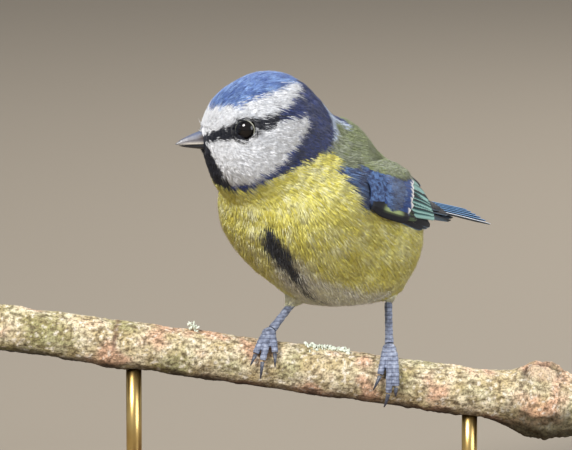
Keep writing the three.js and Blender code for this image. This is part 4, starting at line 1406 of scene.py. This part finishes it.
def scaled_material():
    material, tree, shader = new_material("scaled_skin", 0.5)
    colour = ramp(tree, grain(tree, 1.1, 5), *SCALE_TONES)
    place = node(tree, "ShaderNodeTexCoord")
    scales = node(tree, "ShaderNodeTexVoronoi", feature="DISTANCE_TO_EDGE", Scale=1 / (SMALL_SCALE * MM))
    tree.links.new(place.outputs["Object"], scales.inputs["Vector"])
    gap = ramp(tree, scales.outputs["Distance"], (0.0, (0.45, 0.45, 0.5)), (0.12, (1, 1, 1)))
    # At a scale of 1 the wave texture repeats every pi / 10 metres
    rings = node(tree, "ShaderNodeTexWave", Scale=math.pi / 10 / (SCUTE * MM), Distortion=1.2, Detail=2.0)
    rings.bands_direction = "Z"
    tree.links.new(place.outputs["Object"], rings.inputs["Vector"])
    band = ramp(tree, rings.outputs["Fac"], (0.0, (0.35, 0.35, 0.4)), (0.3, (1, 1, 1)))
    scaled_tone = multiplied(tree, colour, gap, 0.2)
    tree.links.new(multiplied(tree, scaled_tone, band, 0.8), shader.inputs["Base Color"])
    bumped(tree, shader, band, 0.6, 0.1)
    return material


BILL_RIDGE = screen(96, 104, 128)
BILL_SIDE = screen(102, 99, 104)
BILL_EDGE = screen(190, 182, 172)
NOSTRIL = (-14.8, 0.7)


def bill_colours(points):
    """Bluish along the ridge, pale along the cutting edge, with a dark brown nostril and a dark tip."""
    _, y, z = into(points, HEAD_FRAME).T
    return layered(
        len(points), BILL_SIDE,
        (BILL_RIDGE, (z - 0.4) / 1.2),
        (BILL_EDGE, (-0.1 - z - 0.09 * (y + 15)) / 0.6),
        (screen(64, 52, 50), 1.4 - np.hypot((y - NOSTRIL[0]) / 1.3, (z - NOSTRIL[1]) / 0.6)),
        (screen(88, 90, 100), (-18.6 - y) / 3),
    )


# The horn's bump: its grain's size and detail, its strength and its depth
FINE_GRAIN = ((0.2, 4), 0.25, 0.03)
upper_horn = marked("bill_horn", 0.36, 0.4, (0.3, 0.85), (0.7, 1.1), detail=4, bump=FINE_GRAIN,
                    Coat_Weight=0.2, Coat_Roughness=0.3)
# The lower mandible's horn is painted near black, as painted shade under the bill; the claws' horn is their
# own colour
lower_horn, claw_horn = (
    grained(name, 0.34, size, (0.3, dark), (0.75, light), detail=4, bump=FINE_GRAIN,
            Coat_Weight=0.25, Coat_Roughness=0.3)
    for name, size, dark, light in (
        ("bill_shaded_horn", 0.5, screen(22, 22, 26), screen(52, 52, 60)),
        ("claw_horn", 0.3, screen(44, 46, 56), screen(92, 96, 110)),
    )
)
scaled = scaled_material()


def finer(name, label, material, slot, voxel, smoothing, colours=None):
    """A finer copy of one node, painted where it has markings."""
    mesh = remeshed(label, merged_copy(name), voxel * MM, smoothing)
    if colours:
        paint(mesh, colours(points_of(mesh)))
    add_piece(label, mesh, material, slot, name)


finer("bill_upper", "upper_mandible", upper_horn, "bill", 0.09, 5, bill_colours)
finer("bill_lower", "lower_mandible", lower_horn, "bill_dark", 0.09, 5)
for side in SIDES:
    finer(f"leg_{side}", f"tarsus_{side}", scaled, "leg_skin", 0.13, 2)
    finer(f"foot_{side}", f"toes_{side}", scaled, "leg_skin", 0.13, 3)
    for digit in (1, 2, 3, 4):
        finer(f"claw_{side}_{digit}", f"claw_horn_{side}_{digit}", claw_horn, "claw", 0.08, 2)

# %% [markdown]
# The branch has thin old bark: cream and olive patches, pinkish bald spots and dark specks, with painted
# shade darkening its underside and a dark olive patch on the lower side by the knot. Bump alone would leave
# its outline smooth, so its solid is remeshed fine enough to push the surface in and out with noise, and the
# swollen knot near its right end gets its domed scar and a crack.

# %% Branch
PERCH_VOXEL = 0.4
# The knot's place along the branch, the way that its scar faces in degrees from straight up, its radius
# and the crack's distance from the scar's middle
KNOT_X = 51
KNOT_FACE = 28
KNOT_RADIUS = 7
CRACK = 3.3
# The reddish ring's place, and the middles and half the width of where the toes grip
RING_X = -51
TOE_PLACES = (14.2, -15.2)
TOE_HALF = 3.5
BARK_TAN = screen(184, 166, 126)
BARK_TONES = ((0.36, (0.5, 0.47, 0.42)), (0.5, 1), (0.68, (1.25, 1.22, 1.18)))


def from_scar(points):
    """Distance over the bark from the middle of the knot's scar, and how deep its crack is there."""
    x, y, z = into(points, PERCH_FRAME).T
    over = np.radians(np.degrees(np.arctan2(-y, z)) - KNOT_FACE) * KNOT_RADIUS
    distance = np.hypot((x - KNOT_X + 0.6) * 0.8, over * 1.25) + 0.9 * rippled(points, 2.6, 12)
    return distance, ramped(0.55 - over / 5 - 0.05 * (x - KNOT_X))


def bark_relief(points):
    """How far the bark moves out, in millimetres."""
    x = into(points, PERCH_FRAME)[:, 0]
    relief = 0.16 * rippled(points, 1.1, 3) + 0.2 * rippled(points, 3.0, 4) + 0.07 * rippled(points, 0.5, 5)
    near_knot = ramped(1 - abs(x - KNOT_X - 2) / 9)
    relief += near_knot * (0.7 * rippled(points, 2.4, 6) + 0.4 * rippled(points, 0.9, 7))
    distance, crescent = from_scar(points)
    relief += 0.9 * hump(distance, 0, 3.0) + 0.5 * hump(distance, 4.6, 1.0) * crescent
    relief -= 1.1 * hump(distance, CRACK, 0.45) * crescent
    # The toes grip smooth bark
    from_toes = np.min([abs(x - place) for place in TOE_PLACES], axis=0)
    grip = ramped(1 - (from_toes - TOE_HALF) / 2)
    return relief * (1 - 0.85 * grip) - 0.12 * grip


def bark_colours(points):
    """Patches, streaks and specks over tan bark, then painted shade on the underside, the ring and the knot.
    """
    x, y, z = into(points, PERCH_FRAME).T
    up = ramped(0.5 + (z - y * 0.5) / 14)
    broad, middle, fine = rippled(points, 9, 8), rippled(points, 3.2, 9), rippled(points, 0.9, 10)
    lengthwise = np.array([noise.noise(Vector(p)) for p in zip(x / 3, y / 0.5, z / 0.5)])
    distance, crescent = from_scar(points)
    # A dark olive patch over the lower side, towards the knot
    low_olive_by_knot = ramped((x - 38) / 9) * ramped((0.78 - up) * 4 + 0.8 * middle, 0.85)
    return layered(
        len(points), BARK_TAN,
        # Cream and olive patches and pinkish bald spots
        (screen(214, 202, 172), 0.6 + 1.3 * middle),
        (screen(132, 132, 76), ramped(1.6 * broad + 0.5 * fine - 0.15, 0.7)),
        (screen(208, 158, 128), ramped(-1.8 * broad + middle - 0.12, 0.75)),
        # Brown streaks along the branch, then dark and pale specks
        (screen(96, 78, 50), ramped((lengthwise - 0.12) * 4, 0.6)),
        (screen(78, 60, 40), ramped((fine - 0.2) * 4, 0.65)),
        (screen(228, 220, 206), ramped((-fine - 0.3) * 4, 0.7)),
        # Painted shade darkening the underside, and a dark olive patch on the lower side by the knot
        (screen(44, 34, 22), ramped((0.44 - up) * 4 + 0.4 * middle, 0.92)),
        (screen(64, 58, 34), low_olive_by_knot),
        # The reddish ring at the left, the knot's pale scar and its crack
        (screen(92, 52, 42), hump(x, RING_X, 0.6) * (z > -1) * 0.6),
        (screen(190, 164, 140), ramped(1.3 - distance / 2.6, 0.6)),
        (screen(34, 26, 22), hump(distance, CRACK, 0.6) * crescent * 0.9),
    )


def make_branch():
    bark = marked("bark", 0.82, 0.45, *BARK_TONES, detail=4, bump=((0.35, 6), 0.7, 0.25))
    mesh = remeshed("branch", merged_copy("perch"), PERCH_VOXEL * MM, 4)
    points = points_of(mesh)
    moved = points + normals_of(mesh) * bark_relief(points)[:, None] * MM
    set_points(mesh, moved)
    paint(mesh, bark_colours(moved))
    add_piece("branch", mesh, bark, "bark", "perch")
    return tree_of(mesh)


branch_tree = make_branch()

# %% [markdown]
# Two patches of lichen sit on top of the branch, left of the bird and between its feet. A patch of colour
# would lie flat, so each is a crowd of small flattened lobes dropped onto the bark from above.

# %% Lichen
# Each patch: first and last place along the branch, half its width, lobes, their height over the bark
LICHEN = [(-36.4, -34.0, 0.9, 34, 1.6), (-8.2, 2.4, 2.0, 110, 0.5)]
# The smallest and largest lobe's half length in millimetres, and its flattened shape
LOBE_SIZES = (0.25, 0.6)
LOBE_SHAPE = np.array([1, 0.8, 0.35])


def make_lichen():
    bm = bmesh.new()
    for first, last, half, count, height in LICHEN:
        for _ in range(count):
            x, y = rng.uniform(first, last), rng.normal(0, half / 2)
            above = Vector(out_of((x, y - 0.5, 20), PERCH_FRAME))
            place, normal, _, _ = branch_tree.ray_cast(above, Vector((0, 0, -1)))
            size = rng.uniform(*LOBE_SIZES)
            centre = place + normal * rng.uniform(0, height) * MM
            tilt = Matrix.Rotation(rng.uniform(0, 3), 4, "X") @ Matrix.Rotation(rng.uniform(0, 3), 4, "Y")
            lobe = Matrix.Translation(centre) @ tilt @ Matrix.Diagonal((*(LOBE_SHAPE * size), 1))
            bmesh.ops.create_icosphere(bm, subdivisions=2, radius=MM, matrix=lobe)
    crust = grained("lichen", 0.9, 0.6, (0.3, screen(184, 194, 172)), (0.7, screen(238, 240, 230)), detail=4,
                    bump=((0.2, 4), 0.6, 0.1))
    add_piece("lichen", shell("lichen", bm), crust, "bark")


make_lichen()

# %% [markdown]
# The stand is plain: a dark wooden base with eased edges and two satin brass rods. The solids have sharp,
# faceted edges, so new pieces take their place: a box whose edges are bevelled to catch the light, and
# two smooth cylinders.

# %% Stand
# The radius of the base's corners and of its upper rim, and how deep the rods go into it
BASE_CORNER = 10
BASE_RIM = 1.2
ROD_SUNK = 2
WOOD_TONES = ((0.3, screen(48, 30, 20)), (0.5, screen(84, 54, 36)), (0.7, screen(112, 74, 48)))


def wood_material():
    material, tree, shader = new_material("stand_wood", 0.38, Coat_Weight=0.3, Coat_Roughness=0.25)
    streaks = grain(tree, 9, 6, (0.12, 1, 1))
    tree.links.new(ramp(tree, streaks, *WOOD_TONES), shader.inputs["Base Color"])
    bumped(tree, shader, streaks, 0.15, 0.1)
    return material


def make_base():
    low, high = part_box("stand_base")
    size = high - low
    bm = bmesh.new()
    bmesh.ops.create_cube(bm, size=1)
    bmesh.ops.scale(bm, vec=size, verts=bm.verts)
    bmesh.ops.translate(bm, vec=(low + high) / 2, verts=bm.verts)
    upright = [e for e in bm.edges if abs(e.verts[0].co.z - e.verts[1].co.z) > size.z / 2]
    rounded = {"profile": 0.5, "affect": "EDGES", "material": -1, "clamp_overlap": True}
    bmesh.ops.bevel(bm, geom=upright, offset=BASE_CORNER * MM, segments=12, **rounded)
    rim = [e for e in bm.edges if min(v.co.z for v in e.verts) > high.z - 0.1 * MM]
    bmesh.ops.bevel(bm, geom=rim, offset=BASE_RIM * MM, segments=4, **rounded)
    add_piece("base", shell("base", bm, smooth=False), wood_material(), "stand_wood", "stand_base")


def make_rods():
    brass = grained("stand_brass", 0.3, 6, (0.3, screen(176, 146, 88)), (0.7, screen(206, 176, 112)),
                    bump=((0.4, 2, (1, 1, 0.02)), 0.1, 0.02), Metallic=1.0)
    base_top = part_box("stand_base")[1].z
    for side in SIDES:
        low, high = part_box(f"stand_rod_{side}")
        radius = (high.x - low.x) / 2
        foot = base_top - ROD_SUNK * MM
        bm = bmesh.new()
        bmesh.ops.create_cone(
            bm, cap_ends=True, segments=40, radius1=radius, radius2=radius, depth=high.z - foot
        )
        bmesh.ops.translate(bm, vec=((low.x + high.x) / 2, 0, (high.z + foot) / 2), verts=bm.verts)
        add_piece(f"rod_{side}", shell(f"rod_{side}", bm), brass, "stand_brass", f"stand_rod_{side}")


make_base()
make_rods()
